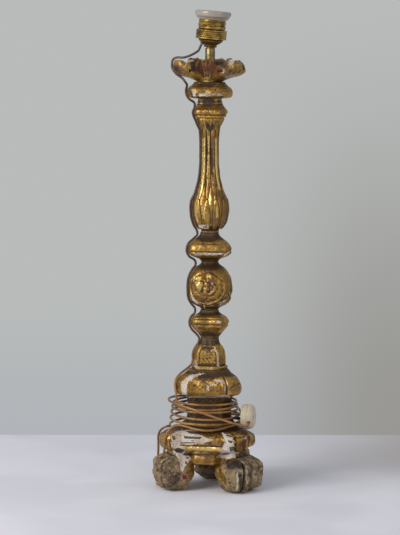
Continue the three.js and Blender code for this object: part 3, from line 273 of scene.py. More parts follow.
# Each row: how soft its edge is, then x, y, x, y ... round the outline.
DRAWN = {
    Mark.GESSO: (
        # base
        (2, 171, 434, 180, 430, 196, 429, 202, 436, 213, 440, 204, 444, 188, 446, 180, 444, 176, 450,
         171, 447),
        (1.2, 173, 445, 184, 446, 187, 451, 181, 456, 173, 452),
        (2, 222, 433, 230, 434, 234, 441, 235, 449, 236, 458, 226, 459, 217, 457, 222, 450, 225, 441),
        (0.8, 241, 438.8, 245.6, 437.2, 249, 434.8, 248.6, 437, 244.6, 439.4),
        # legs
        (0.9, 179, 455, 190, 456, 191, 459, 188, 463, 184.5, 467, 183, 472, 180.8, 471, 179.6, 462,
         175, 453),
        (1.3, 236.4, 473, 238, 472, 238.4, 480, 237.6, 488, 236.6, 489, 236.8, 480),
        # lower knop and bell
        (1.4, 181, 381, 187, 380, 186.5, 396, 181.5, 396),
        (2, 184, 380, 190, 375.5, 202, 372, 206, 374, 196, 377, 188, 382),
        (0.8, 206.5, 385, 209.5, 386, 209, 392, 206.5, 391),
        (0.8, 210, 384, 216, 383.5, 216, 385.5, 210, 386),
        (1, 183, 395.6, 230, 395.2, 230, 397.4, 183, 397.8),
        (0.9, 193, 357, 196.5, 361, 198.5, 368, 195.5, 369, 193, 363),
        (0.9, 216.5, 351, 219, 352, 219.5, 367, 216.8, 367, 217.4, 358),
        (0.8, 212, 349, 217.5, 350, 218, 353, 215, 351.6),
        (1.2, 213, 380, 222, 379, 226, 383, 226, 394, 224.6, 394, 224.4, 384, 219, 383),
        # small knop and ball
        (0.7, 216.5, 320.5, 222, 321.5, 220, 324, 217, 323),
        (0.7, 191.4, 302, 195, 305.4, 201, 308.6, 200.6, 310.2, 195, 307.2, 191, 303.4),
        (0.8, 191, 294.6, 194, 298.6, 198, 301.6, 201, 303, 197, 303.6, 192, 300),
        (0.6, 225.4, 300.6, 221, 304, 219, 305, 220.4, 303.2, 224, 300),
        (0.7, 203, 304.5, 205.4, 306, 205, 308.4, 203.6, 307.4),
        (0.8, 207, 303.6, 211, 303.2, 211, 304.6, 207, 305),
        # upper knop and vase
        (0.9, 194, 253.2, 222, 253, 222, 254.8, 194, 255.4),
        (0.8, 223, 254.5, 230, 251, 230, 252.6, 224, 257),
        (0.8, 197.5, 225, 208.5, 224.4, 208.8, 228, 205, 229, 198.5, 228),
        # collars and drip pan
        (2, 199, 94.4, 210, 93, 223, 93.6, 223, 95.6, 210, 95.2, 200, 97),
        (1.2, 190, 91, 195, 90, 196, 97, 191, 96),
        (0.8, 174.5, 61, 181, 64.5, 192, 71, 191.4, 72.6, 180, 66.4, 174, 63),
        (0.9, 186, 60, 193, 59.6, 193.4, 61.2, 187.6, 62.2, 186.4, 66, 185, 65),
        (2.2, 229, 59.6, 240, 59.2, 236, 62.4, 226, 70, 223, 73, 222, 71, 229, 64),
    ),
    Mark.WOOD: (
        (4.6, 239, 440.5, 244, 440, 248, 437.5, 248, 442, 246, 447, 242, 448.6, 240.4, 446),
        (3, 172, 62, 180, 66, 184, 74, 178, 76, 173, 70),
    ),
    Mark.BOLE: (
        # base
        (4.2, 195, 455.5, 218, 455.5, 213, 459.5, 203, 458.5),
        # legs
        (0.9, 182, 474.5, 186, 476, 187.4, 479, 183, 479.6),
        # small knop and ball
        (2.4, 208, 279, 213.6, 279, 212, 290, 209, 290),
        # upper knop and vase
        (1.2, 210.4, 136, 213.2, 136, 213.4, 188, 210.8, 186),
        # collars and drip pan
        (11, 193, 60, 228, 60, 219, 74, 199, 73),
        (1.6, 232, 58, 240, 58, 238, 62, 231, 64),
    ),
    Mark.GILT: (
        (2, 191, 452, 240, 452, 236, 462, 222, 462, 222, 470, 226, 478, 228, 486, 220, 482, 214, 470,
         212, 462, 196, 462, 196, 472, 191, 480, 186, 474, 189, 462),
    ),
    # Painted highlights: pale places where the leaf catches the light.
    Mark.LIGHT: (
        # base
        (0.8, 237, 452.2, 242, 449.4, 247, 446.2, 247.4, 447.6, 242, 451, 238, 453.2),
        (2, 187, 447, 226, 446.5, 228, 453.4, 188, 453),
        # legs
        (1.6, 222, 471, 226, 474, 232, 476, 232, 474, 226, 471),
        (3, 243, 470, 248, 468, 248, 482, 244, 484),
        (2.6, 252, 470, 257, 471, 257, 480, 253, 481),
        # lower knop and bell
        (1.2, 197, 367.4, 213, 367.6, 213, 370, 197, 370),
        # small knop and ball
        (1.2, 191.6, 281, 194.4, 276.6, 198.4, 277, 196.6, 279, 193.6, 283),
        (2, 194.6, 282, 198, 280.6, 203, 284.6, 200, 291, 197, 288),
        # upper knop and vase
        (1.4, 201.6, 138, 205.4, 138, 204.4, 172, 203, 188, 199, 200, 197.6, 198, 201.4, 182),
        (1, 207.8, 136, 209.8, 136, 209.4, 168, 208, 168),
        (1.4, 214.2, 138, 217.6, 138, 218, 172, 221, 190, 218.4, 190, 215, 172),
        (1, 208.4, 198, 210.4, 192.4, 211.8, 197, 210.8, 205, 208.8, 205),
        (1, 202, 208, 203.4, 204, 205, 208, 204.6, 219, 202.4, 219),
        (1, 213.4, 196, 215.4, 196, 216, 204, 214, 205),
        (1, 215.6, 207, 217.4, 206, 218.2, 217, 216, 219),
        (1.2, 195, 203, 197, 200, 196.6, 214, 199, 223, 196, 221, 194, 211),
        # collars and drip pan
        (1.4, 197, 80.6, 208, 80, 208, 83.4, 198, 84),
        (1.4, 191.4, 89, 195.4, 88, 196, 95, 193, 96),
    ),
    # Painted shade: places that are darkened because they lie in shade.
    Mark.GLAZE: (
        # base
        (4, 249, 430, 256, 432, 259, 439, 256, 447, 249.6, 448),
        (4, 160, 426, 182, 424, 214, 431, 246, 424, 249, 435, 214, 434.5, 182, 430, 164, 435),
        (5, 204, 434, 222, 433, 221, 445, 190, 444.5),
        (3, 238, 449, 249, 448, 247, 457, 236, 459),
        # legs
        (5, 163, 470, 181, 467, 184, 478, 176, 490, 165, 486),
        (4, 222, 460, 236, 461, 247, 466, 240, 471, 229, 471, 224, 470),
        # lower knop and bell
        (4, 193, 372, 228, 368, 243, 378, 236, 384, 228, 377, 200, 378),
        (3, 226, 380, 241, 382, 240, 394, 227, 395),
        # small knop and ball
        (4, 201, 262, 222, 262, 229, 270, 222, 276, 200, 272, 194, 272),
        (3.4, 204, 276, 214, 276, 215.4, 290, 212, 301, 204, 301, 205, 288),
        (2, 228, 272, 233, 276, 233, 298, 228, 301, 230, 288),
        # upper knop and vase
        (1.2, 205.6, 138, 207.4, 138, 207.4, 180, 204.6, 196, 203.4, 194, 205.6, 172),
        (2, 217.6, 140, 220, 140, 222, 180, 229, 205, 229, 224, 223.6, 226, 224, 200, 218, 176),
        (3, 200, 228, 220, 228, 222, 240, 198, 240),
        # collars and drip pan
        (3, 173, 60, 182, 61, 193, 69, 193, 77, 181, 76, 173, 70),
        (4.5, 193, 56, 229, 55, 228, 66, 219, 72, 213, 72, 205, 74, 195, 74),
        (6, 196, 68, 222, 68, 217, 78, 200, 78),
        (2, 224, 74, 232, 68, 243, 71, 238, 74, 228, 77),
        (2, 194, 78, 226, 78, 226, 84, 194, 84),
    ),
    # Dark places: partly dirt and cracks, partly painted shade in grooves and under ledges.
    Mark.DARK: (
        # base
        (0.8, 184, 430.5, 198, 431.5, 203, 435, 190, 433.5),
        (0.8, 184, 436, 201, 437, 200, 439.3, 184, 438.6),
        (0.8, 172, 436.5, 175, 436, 176, 440, 173, 440),
        (0.7, 180, 442.3, 195, 442.2, 195, 443.2, 180, 443.6),
        (0.9, 174, 449.5, 178, 447.5, 185, 450, 182, 453.5, 176, 452.5),
        (0.9, 229, 447, 235, 446.5, 236, 450, 230, 452),
        (0.8, 226, 434, 232, 436, 231, 437.4, 226, 436),
        (0.8, 228, 440, 233, 441, 232, 443.5, 228, 442),
        (0.7, 222, 453.5, 230, 452.8, 230, 454.2, 222, 455),
        (1.4, 247.6, 435, 250.6, 437, 249, 446, 246.4, 449, 247.6, 443),
        (0.8, 183, 453.6, 214, 453.8, 214, 455, 183, 455),
        # legs
        (0.6, 186, 457.5, 189, 456.8, 188.5, 458.2, 186, 458.8),
        (0.6, 185, 461.2, 187.6, 461.6, 187, 464, 185.2, 464.4),
        (3.4, 223, 460, 236, 460, 243, 464, 245, 468.4, 236, 470, 227, 469.4),
        (2.4, 239.6, 476, 241.6, 473, 243, 482, 241.6, 490, 240, 489, 239, 482),
        (1.8, 248.4, 470, 250.6, 473, 251, 480, 249, 488, 247.8, 486, 249.4, 479),
        # small knop and ball
        (0.8, 191.6, 300.4, 196, 304.2, 203, 305.2, 203, 306.6, 196, 306.2, 191.4, 302),
        (1.4, 213, 303.6, 219, 303.4, 217, 306.4, 213.6, 305.8),
        (0.9, 220.5, 300.6, 226, 296.4, 226.4, 298, 221, 302.4),
        (0.7, 199.6, 292, 202.4, 287, 204, 286.6, 203, 289, 200.6, 293),
        (0.7, 193, 283, 195.4, 279.6, 197.6, 279.4, 195, 282, 193.6, 284.6),
        # upper knop and vase
        (0.6, 205.2, 225.6, 207, 225.6, 207, 227.6, 205.2, 227.6),
        (1.2, 210.8, 148, 212.6, 148, 213, 176, 211, 174),
        (1, 205.4, 121, 208, 122.6, 210.4, 126, 213, 122, 214, 129, 210, 132, 206, 128),
        # collars and drip pan
        (2, 173.5, 66, 178, 67, 178, 71.5, 174.5, 71),
        (1.6, 190, 62, 195, 62, 196, 72.5, 191, 71),
        (2.4, 214, 61, 220, 62, 227, 66, 224, 68, 217, 65, 212, 64),
        (1, 236, 61, 241, 59.6, 244, 62, 246, 68, 243, 71, 243, 65, 239, 63.4),
        (1.2, 196, 96.4, 224, 96, 222, 98.4, 198, 98.6),
        (1, 188.6, 90.4, 191.6, 90, 193.6, 97.4, 191.6, 97.6),
    ),
}
PATCHES = [Patch(mark, tuple(zip(row[1::2], row[2::2])), row[0])
           for mark, rows in DRAWN.items() for row in rows]


# ---- Carved surfaces ----


def section_radius(angle: Array, face: Array, ratio: float, crispness: float) -> Array:
    """Distance from the axis to a softened outline of three long faces and three corner facets.

    Args:
        angle: Directions, in radians.
        face: Distance of the long faces.
        ratio: Distance of a corner facet over that of a face.
        crispness: How sharp the edges between them are.

    Returns:
        The distance in each direction.
    """
    total = np.zeros(np.broadcast(angle, face).shape)
    for side in range(6):
        facing = np.cos(angle - CORNER - side * math.pi / 3)
        far = face if side % 2 else face * ratio
        total += np.where(facing > 0, (np.maximum(facing, 1e-9) / far) ** crispness, 0)
    return total ** (-1 / crispness)


def towards_corner(angle: Array) -> Array:
    """1 on the line of a corner, 0 a sixth of a turn away from it."""
    return 0.5 + 0.5 * np.cos(3 * (angle - CORNER))


def across_face(angle: Array) -> Array:
    """Signed angle from the middle of the nearest long face."""
    turned = angle - FACE
    return turned - THIRD * np.round(turned / THIRD)


def off_face(angle: Array) -> Array:
    """Degrees from the middle of the nearest long face, up to 60 on a corner."""
    return np.degrees(np.abs(across_face(angle)))


def on_faces(wide: float, narrow: float, *each: Place) -> Relief:
    """Rolls and grooves across the long faces.

    Args:
        wide: Degrees from a face's middle where they have died out.
        narrow: Degrees within which they are at their full depth.
        each: Depth, height and width of each.

    Returns:
        The relief.
    """
    def relief(angle: Array, height: Array, radius: Array) -> Array:
        """The rolls, as far as they reach."""
        return smooth(wide, narrow, off_face(angle)) * rolls(height, *each)

    return relief


class Outline:
    """A block's profile, face distance against height, drawn with a pen."""

    def __init__(self, x: float, y: float) -> None:
        """Puts the pen down."""
        self.points = [(x, y)]

    def to(self, *places: float) -> "Outline":
        """A straight, quadratic or cubic stroke, by how many places it gets."""
        knots = np.array([self.points[-1], *zip(places[::2], places[1::2])])
        while len(knots) < 4 and len(knots) != 2:
            a, b, c = knots
            knots = np.array([a, a + (b - a) * 2 / 3, c + (b - c) * 2 / 3, c])
        if len(knots) == 2:
            self.points.append(tuple(knots[1]))
            return self
        for t in np.linspace(0, 1, 25)[1:]:
            weights = ((1 - t) ** 3, 3 * t * (1 - t) ** 2, 3 * t * t * (1 - t), t**3)
            self.points.append(tuple(np.dot(weights, knots)))
        return self

    def rows(self, spacing: float) -> tuple[Array, Array]:
        """Face distances and heights at an even spacing along the profile."""
        points = np.array(self.points)
        run = np.concatenate([[0], np.cumsum(np.linalg.norm(np.diff(points, axis=0), axis=1))])
        at = np.linspace(0, run[-1], max(3, int(run[-1] / spacing)))
        return np.interp(at, run, points[:, 0]), np.interp(at, run, points[:, 1])


@dataclass
class Carving:
    """A block's surface as rings of points, and the detail that is carved into it."""

    outline: Outline
    ratio: float
    crispness: float = 14
    ear: float = 0.0  # how far the corners stand out, as a share of the radius
    ear_ends: Point = (2.0, 3.0)  # shares of the height between which they die out
    columns: int = 360
    spacing: float = 0.7
    relief: Relief | None = None
    lumps: float = 0.22
    seed: int = 1

    def rings(self, bottom: float) -> Array:
        """The points in mm, as rows by columns by three."""
        face, height = (values[:, None] for values in self.outline.rows(self.spacing))
        angle = around(self.columns)[None, :]
        share = (height - height[0]) / (height[-1] - height[0])
        ear = self.ear * (1 - smooth(*self.ear_ends, share))
        radius = section_radius(angle, face, self.ratio, self.crispness)
        radius = radius * (1 + ear * towards_corner(angle) ** 4)
        if self.relief:
            radius = radius + self.relief(*np.broadcast_arrays(angle, height, radius))
        points = wrapped(radius, angle, height + bottom)
        uneven = Grain(17, self.seed).at(points) + 0.4 * Grain(5, self.seed + 50).at(points)
        points[..., :2] *= (1 + self.lumps * uneven / radius)[..., None]
        return points


def ring_faces(rows: int, columns: int) -> list[tuple[int, ...]]:
    """Faces of a closed skin over rings, whose two end middles come last."""
    step = np.arange(columns)
    after = (step + 1) % columns
    low = (np.arange(rows - 1) * columns)[:, None]
    quads = np.stack([low + step, low + after, low + columns + after, low + columns + step], -1)
    bottom, top, last = rows * columns, rows * columns + 1, (rows - 1) * columns
    faces = [tuple(quad) for quad in quads.reshape(-1, 4).tolist()]
    faces += [(bottom, int(b), int(a)) for a, b in zip(step, after)]
    faces += [(top, int(last + a), int(last + b)) for a, b in zip(step, after)]
    return faces


def skin(name: str, shells: Sequence[Array], place: Vector) -> bpy.types.Object:
    """A closed mesh over each set of rings.

    Args:
        name: The object's name.
        shells: Sets of rings in mm, each rows by columns by three.
        place: What is added to every point, in metres.

    Returns:
        The object, at the origin, with smooth faces.
    """
    points, faces = [], []
    for rings in shells:
        first = sum(len(part) for part in points)
        rows, columns = rings.shape[:2]
        ends = np.stack([rings[0].mean(0), rings[-1].mean(0)])
        points.append(np.vstack([rings.reshape(-1, 3), ends]))
        faces += [tuple(first + i for i in face) for face in ring_faces(rows, columns)]
    mesh = bpy.data.meshes.new(name)
    mesh.from_pydata((np.vstack(points) * MM + np.array(place)).tolist(), [], faces)
    mesh.shade_smooth()
    return add(name, mesh)


def lathe(profile: Sequence[Point], columns: int) -> Array:
    """Rings of a turned shape whose closed profile runs from the bottom's inside round to it again."""
    radius, height = np.array(profile, float).T[..., None]
    return wrapped(radius, around(columns), height)


class Wear:
    """Works out where a mesh is hollow, where it stands proud, where it is hurt and where highlights and
    shade are painted on it.
    """

    MARGIN = 4  # pixels round an outline that it can reach
    DEEPEST = 1.5  # the highest value of a hollow or proud place

    def __init__(self, view: PhotoView, axis: Vector) -> None:
        """Args: the photograph's view and the stem's axis."""
        self.view, self.axis = view, axis

    def write(self, made: bpy.types.Object, reach: int, scale: float, fields: Fields) -> None:
        """Writes the attributes that the finishes read.

        Args:
            made: The piece.
            reach: How many rounds of smoothing tell a hollow from a plain place.
            scale: Depth in mm that counts as fully hollow.
            fields: More attributes, each worked out from places in mm about the stem's axis.
        """
        mesh, count = made.data, len(made.data.vertices)
        points, normals = np.empty((count, 3)), np.empty((count, 3), np.float32)
        edges = np.empty((len(mesh.edges), 2), np.int32)
        mesh.vertices.foreach_get("co", points.reshape(-1))
        mesh.vertex_normals.foreach_get("vector", normals.reshape(-1))
        mesh.edges.foreach_get("vertices", edges.reshape(-1))
        a, b = edges.T
        degree = np.bincount(edges.ravel(), minlength=count)[:, None]
        soft = points.copy()
        for _ in range(reach):
            total = [np.bincount(a, way[b], count) + np.bincount(b, way[a], count) for way in soft.T]
            soft = 0.5 * soft + 0.5 * np.stack(total, -1) / degree
        depth = ((soft - points) * normals).sum(1) / MM
        depth -= np.median(depth)
        values = {name: np.clip(sign * depth / scale, 0, self.DEEPEST)
                  for name, sign in (("hollow", 1), ("proud", -1))}
        column, row = self.view.pixels(points, self.axis)
        seen = (normals * (np.array(self.view.place(self.axis)) - points)).sum(1) > 0
        values |= {mark.value: np.zeros(count) for mark in Mark}
        for patch in PATCHES:
            near = seen.copy()
            for pixels, sides in zip((column, row), zip(*patch.outline)):
                near &= (pixels > min(sides) - self.MARGIN) & (pixels < max(sides) + self.MARGIN)
            if near.any():
                depth, marks = inside(column[near], row[near], patch.outline), values[patch.mark.value]
                marks[near] = np.maximum(marks[near], np.clip(0.5 + depth / (2 * patch.edge), 0, 1))
        for name, work_out in fields.items():
            found = work_out((points - np.array(self.axis)) / MM)
            values[name] = np.maximum(values.get(name, 0), found)
        for name, value in values.items():
            layer = mesh.attributes.new(name, "FLOAT", "POINT")
            layer.data.foreach_set("value", value.astype(np.float32))


# ---- Node trees ----


class Value:
    """A number or vector that a node gives, for use in plain sums."""

    def __init__(self, tree: "Tree", socket: bpy.types.NodeSocket) -> None:
        """Wraps an output socket."""
        self.tree, self.socket = tree, socket

    def math(self, operation: str, *others: "Value | float") -> "Value":
        """The result of one Math node whose first number is self."""
        settings = {"operation": operation}
        return self.tree.node("ShaderNodeMath", settings, dict(enumerate((self, *others))))

    def __add__(self, other: "Value | float") -> "Value":
        """self + other."""
        return self.math("ADD", other)

    def __sub__(self, other: "Value | float") -> "Value":
        """self - other."""
        return self.math("SUBTRACT", other)

    def __rsub__(self, other: float) -> "Value":
        """other - self."""
        return self.math("MULTIPLY_ADD", -1.0, other)

    def __mul__(self, other: "Value | float") -> "Value":
        """self * other."""
        return self.math("MULTIPLY", other)

    def __truediv__(self, other: "Value | float") -> "Value":
        """self / other."""
        return self.math("DIVIDE", other)

    def __pow__(self, exponent: float) -> "Value":
        """self to a power."""
        return self.math("POWER", exponent)

    __radd__, __rmul__ = __add__, __mul__

    def clamped(self) -> "Value":
        """self, kept within 0 and 1."""
        return self.tree.node("ShaderNodeClamp", {}, {0: self})

    def over(self, low: float, high: float) -> "Value":
        """0 below low, 1 above high, and an S curve between them."""
        settings = {"interpolation_type": "SMOOTHSTEP"}
        return self.tree.node("ShaderNodeMapRange", settings, {"Value": self, 1: low, 2: high})

    def parts(self) -> list["Value"]:
        """The x, y and z of a vector."""
        split = self.tree.node("ShaderNodeSeparateXYZ", {}, {0: self}).socket.node
        return [Value(self.tree, socket) for socket in split.outputs]


class Tree:
    """A node tree that is put together in plain words."""

    def __init__(self, tree: bpy.types.NodeTree) -> None:
        """Wraps the tree."""
        self.tree = tree

    def node(self, kind: str, settings: dict[str, object] | None = None,
             sockets: dict[int | str, object] | None = None, out: int | str = 0) -> Value:
        """Adds a node.

        Args:
            kind: Its type.
            settings: What is set on the node itself, before its sockets.
            sockets: Values or links of its inputs, by name or number.
            out: Which output is wanted.

        Returns:
            That output.
        """
        made = self.tree.nodes.new(kind)
        for key, value in (settings or {}).items():
            if key == "stops":
                ramp = made.color_ramp.elements
                while len(ramp) < len(value):
                    ramp.new(0.5)
                for element, (at, colour) in zip(ramp, value):
                    element.position, element.color = at, rgb(colour)
            else:
                setattr(made, key, value)
        for key, value in (sockets or {}).items():
            if isinstance(value, Value):
                self.tree.links.new(value.socket, made.inputs[key])
            else:
                made.inputs[key].default_value = value
        return Value(self, made.outputs[out] if made.outputs else None)

    def mix(self, first: "Value | str", second: "Value | str", share: "Value | float") -> Value:
        """A colour between two, each a Value or a hex colour."""
        first, second = (rgb(c) if isinstance(c, str) else c for c in (first, second))
        return self.node("ShaderNodeMix", {"data_type": "RGBA"}, {0: share, 6: first, 7: second}, out=2)

    def ramp(self, value: Value, *stops: tuple[float, str]) -> Value:
        """A colour from a ramp."""
        return self.node("ShaderNodeValToRGB", {"stops": stops}, {0: value})


class Recipe(Tree):
    """The nodes of one finish."""

    def __init__(self, name: str, colour: str = "") -> None:
        """Starts an empty material, with the colour that lies under all others."""
        self.colour: Value | str = colour
        self.material = bpy.data.materials.new(name)
        self.material.use_nodes = True
        super().__init__(self.material.node_tree)
        self.tree.nodes.clear()
        self.place = self.node("ShaderNodeTexCoord", out="Object")

    def lay(self, colour: Value | str, share: Value | float) -> None:
        """Lays a colour over what the finish has so far."""
        self.colour = self.mix(self.colour, colour, share)

    def noise(self, size_mm: float, detail: float = 3, rough: float = 0.55, warp: float = 0) -> Value:
        """Cloudy noise with features of about that size."""
        sockets = {"Vector": self.place, "Scale": 1000 / size_mm, "Detail": detail,
                   "Roughness": rough, "Distortion": warp}
        return self.node("ShaderNodeTexNoise", {}, sockets)

    def cells(self, size_mm: float, feature: str = "F1") -> Value:
        """Distances in a field of cells of about that size."""
        sockets = {"Vector": self.place, "Scale": 1000 / size_mm}
        return self.node("ShaderNodeTexVoronoi", {"feature": feature}, sockets)

    def mark(self, name: str) -> Value:
        """A number that the mesh carries."""
        return self.node("ShaderNodeAttribute", {"attribute_name": name}, out="Fac")

    def bump(self, height: Value, strength: float, distance_mm: float) -> Value:
        """A normal from a height."""
        sockets = {"Strength": strength, "Distance": distance_mm * MM, "Height": height}
        return self.node("ShaderNodeBump", {}, sockets)

    def finish(self, **sockets: object) -> bpy.types.Material:
        """Closes the recipe with a principled surface of that colour and returns the material."""
        named = {key.replace("_", " "): value for key, value in sockets.items()}
        shader = self.node("ShaderNodeBsdfPrincipled", {}, {"Base Color": self.colour} | named)
        self.node("ShaderNodeOutputMaterial", {}, {0: shader})
        return self.material


def rgb(colour: str) -> tuple[float, float, float, float]:
    """A hex colour as light."""
    parts = (int(colour[i : i + 2], 16) / 255 for i in (0, 2, 4))
    light = [c / 12.92 if c <= 0.04045 else ((c + 0.055) / 1.055) ** 2.4 for c in parts]
    return (*light, 1.0)


class Growth(Tree):
    """A Geometry Nodes tree with named inputs, run once on an object."""

    def __init__(self, name: str, **inputs: float) -> None:
        """Args: a name, and the tree's inputs with their values."""
        super().__init__(bpy.data.node_groups.new(name, "GeometryNodeTree"))
        face = self.tree.interface
        for side in ("INPUT", "OUTPUT"):
            face.new_socket("Geometry", in_out=side, socket_type="NodeSocketGeometry")
        self.values = {}
        for label, value in inputs.items():
            kind = "NodeSocketInt" if isinstance(value, int) else "NodeSocketFloat"
            socket = face.new_socket(label, in_out="INPUT", socket_type=kind)
            self.values[socket.identifier] = value
        self.group = self.tree.nodes.new("NodeGroupInput")

    def given(self, label: str) -> Value:
        """One of the tree's inputs."""
        return Value(self, self.group.outputs[label])

    def run(self, made: bpy.types.Object, result: Value, finish: bpy.types.Material) -> bpy.types.Object:
        """Grows the result on an object and keeps it as a plain mesh.

        Args:
            made: The object that the tree starts from.
            result: The tree's last geometry.
            finish: The material that it gets.

        Returns:
            The same object, with its new mesh and no modifier.
        """
        plain = self.node("GeometryNodeRealizeInstances", {}, {0: result})
        dressed = self.node("GeometryNodeSetMaterial", {}, {"Geometry": plain, "Material": finish})
        self.tree.links.new(dressed.socket, self.tree.nodes.new("NodeGroupOutput").inputs[0])
        modifier = made.modifiers.new(self.tree.name, "NODES")
        modifier.node_group = self.tree
        for identifier, value in self.values.items():
            modifier[identifier] = value
        evaluated = made.evaluated_get(bpy.context.evaluated_depsgraph_get())
        mesh = bpy.data.meshes.new_from_object(evaluated)
        made.modifiers.clear()
        made.data = mesh
        return made


# ---- Finishes ----


@dataclass(frozen=True)
class WornGilding:
    """Burnished leaf over red bole and gesso, rubbed on the edges; darkened brown in the hollows, necks and
    drawn shade patches, partly real toning and partly painted shade, and with painted highlights.
    """

    name: str = "worn_gilding"
    slot: str = "gilding"
    # The colour of the painted highlights.
    bright: str = "EACB80"
    light: str = "C59C4C"
    deep: str = "845C20"
    umber: str = "5E421C"
    glaze: str = "2E1A07"
    bole: str = "5E2A16"
    gesso: str = "CFC2B6"
    soiled: str = "A8927C"
    grime_and_shade: str = "241B15"
    wood: str = "74492C"
    wood_dark: str = "2E170D"

    def make(self) -> bpy.types.Material:
        """The material."""
        r = Recipe(self.name, self.deep)
        clouds, patches, specks = r.noise(36, 3), r.noise(8, 4, 0.6, 0.4), r.noise(1.7, 3, 0.6)
        hollow, proud, valley = r.mark("hollow"), r.mark("proud"), r.mark("valley")
        r.lay(self.light, (clouds * 0.6 + patches * 0.6 + proud * 0.12).over(0.42, 0.86))
        r.lay(self.umber, (r.noise(15, 4, 0.6, 0.6) + specks * 0.25).over(0.58, 0.78) * 0.6)
        # Painted highlights: the bright leaf colour where highlights are drawn, broken up by specks.
        lit = (r.mark("light") * 0.75 + specks * 0.5).over(0.45, 0.95)
        r.lay(self.bright, lit * 0.75)
        # Painted shade: hollows, necks and the drawn shade patches are darkened brown, less under the painted
        # highlights. Partly real brown toning; it also dulls the metal.
        shade = hollow * 0.75 + valley * 0.62 + r.mark("glaze") * 0.42 - lit * 0.3
        shade_and_glaze = (shade + patches * 0.6 + clouds * 0.3 + specks * 0.2).over(0.76, 1.3)
        r.lay(self.glaze, shade_and_glaze * 0.92)
        dirt = (r.noise(0.9, 3, 0.6) + patches * 0.35 + hollow * 0.1).over(0.73, 0.86)
        r.lay(self.glaze, dirt * 0.6)
        rubbed = (r.noise(6, 5, 0.7, 0.9) + proud * 0.07 + r.mark("bole") * 0.3).over(0.66, 0.72)
        r.lay(self.bole, rubbed * 0.75)
        ragged = (specks - 0.5) * 1.1 + (patches - 0.5) * 1.7
        bare = (r.mark("gesso") + ragged).over(0.45, 0.6)
        chips = (r.noise(9, 5, 0.68, 0.5) + proud * 0.05 - valley * 0.12).over(0.735, 0.75)
        bare = (bare + chips).over(0.1, 0.9)
        flecks = (specks * 1.1 + patches * 0.5).over(0.86, 0.98)
        plaster = r.mix(r.mix(self.gesso, self.soiled, clouds.over(0.42, 0.62)), self.grime_and_shade, flecks * 0.8)
        r.lay(plaster, bare)
        timber = (r.mark("wood") + (patches - 0.5) * 1.5 + (specks - 0.5) * 0.5).over(0.4, 0.6)
        grained = r.ramp(specks * 0.6 + patches * 0.4, (0.36, self.wood_dark), (0.6, self.wood))
        r.lay(grained, timber)
        # Drawn dark places, partly dirt and cracks, partly painted shade in grooves and under ledges.
        grime_and_shade = (r.mark("dark") + (specks - 0.5) * 0.8).over(0.4, 0.62)
        r.lay(self.grime_and_shade, grime_and_shade * 0.9)
        lost = (bare + timber + grime_and_shade).over(0.05, 0.8)
        metal = (1 - lost) * (1 - shade_and_glaze * 0.6) * (1 - rubbed * 0.7) * 0.76
        rough = 0.25 + specks * 0.2 + shade_and_glaze * 0.22 + lost * 0.4
        cracks = r.cells(4.4, "DISTANCE_TO_EDGE").over(0, 0.06)
        height = patches * 0.4 + specks * 0.25 - bare * 0.5 + cracks * 0.12
        return r.finish(Metallic=metal, Roughness=rough, Coat_Weight=(1 - lost) * (1 - shade_and_glaze * 0.7) * 0.2,
                        Coat_Roughness=0.2, Normal=r.bump(height, 0.55, 0.4))


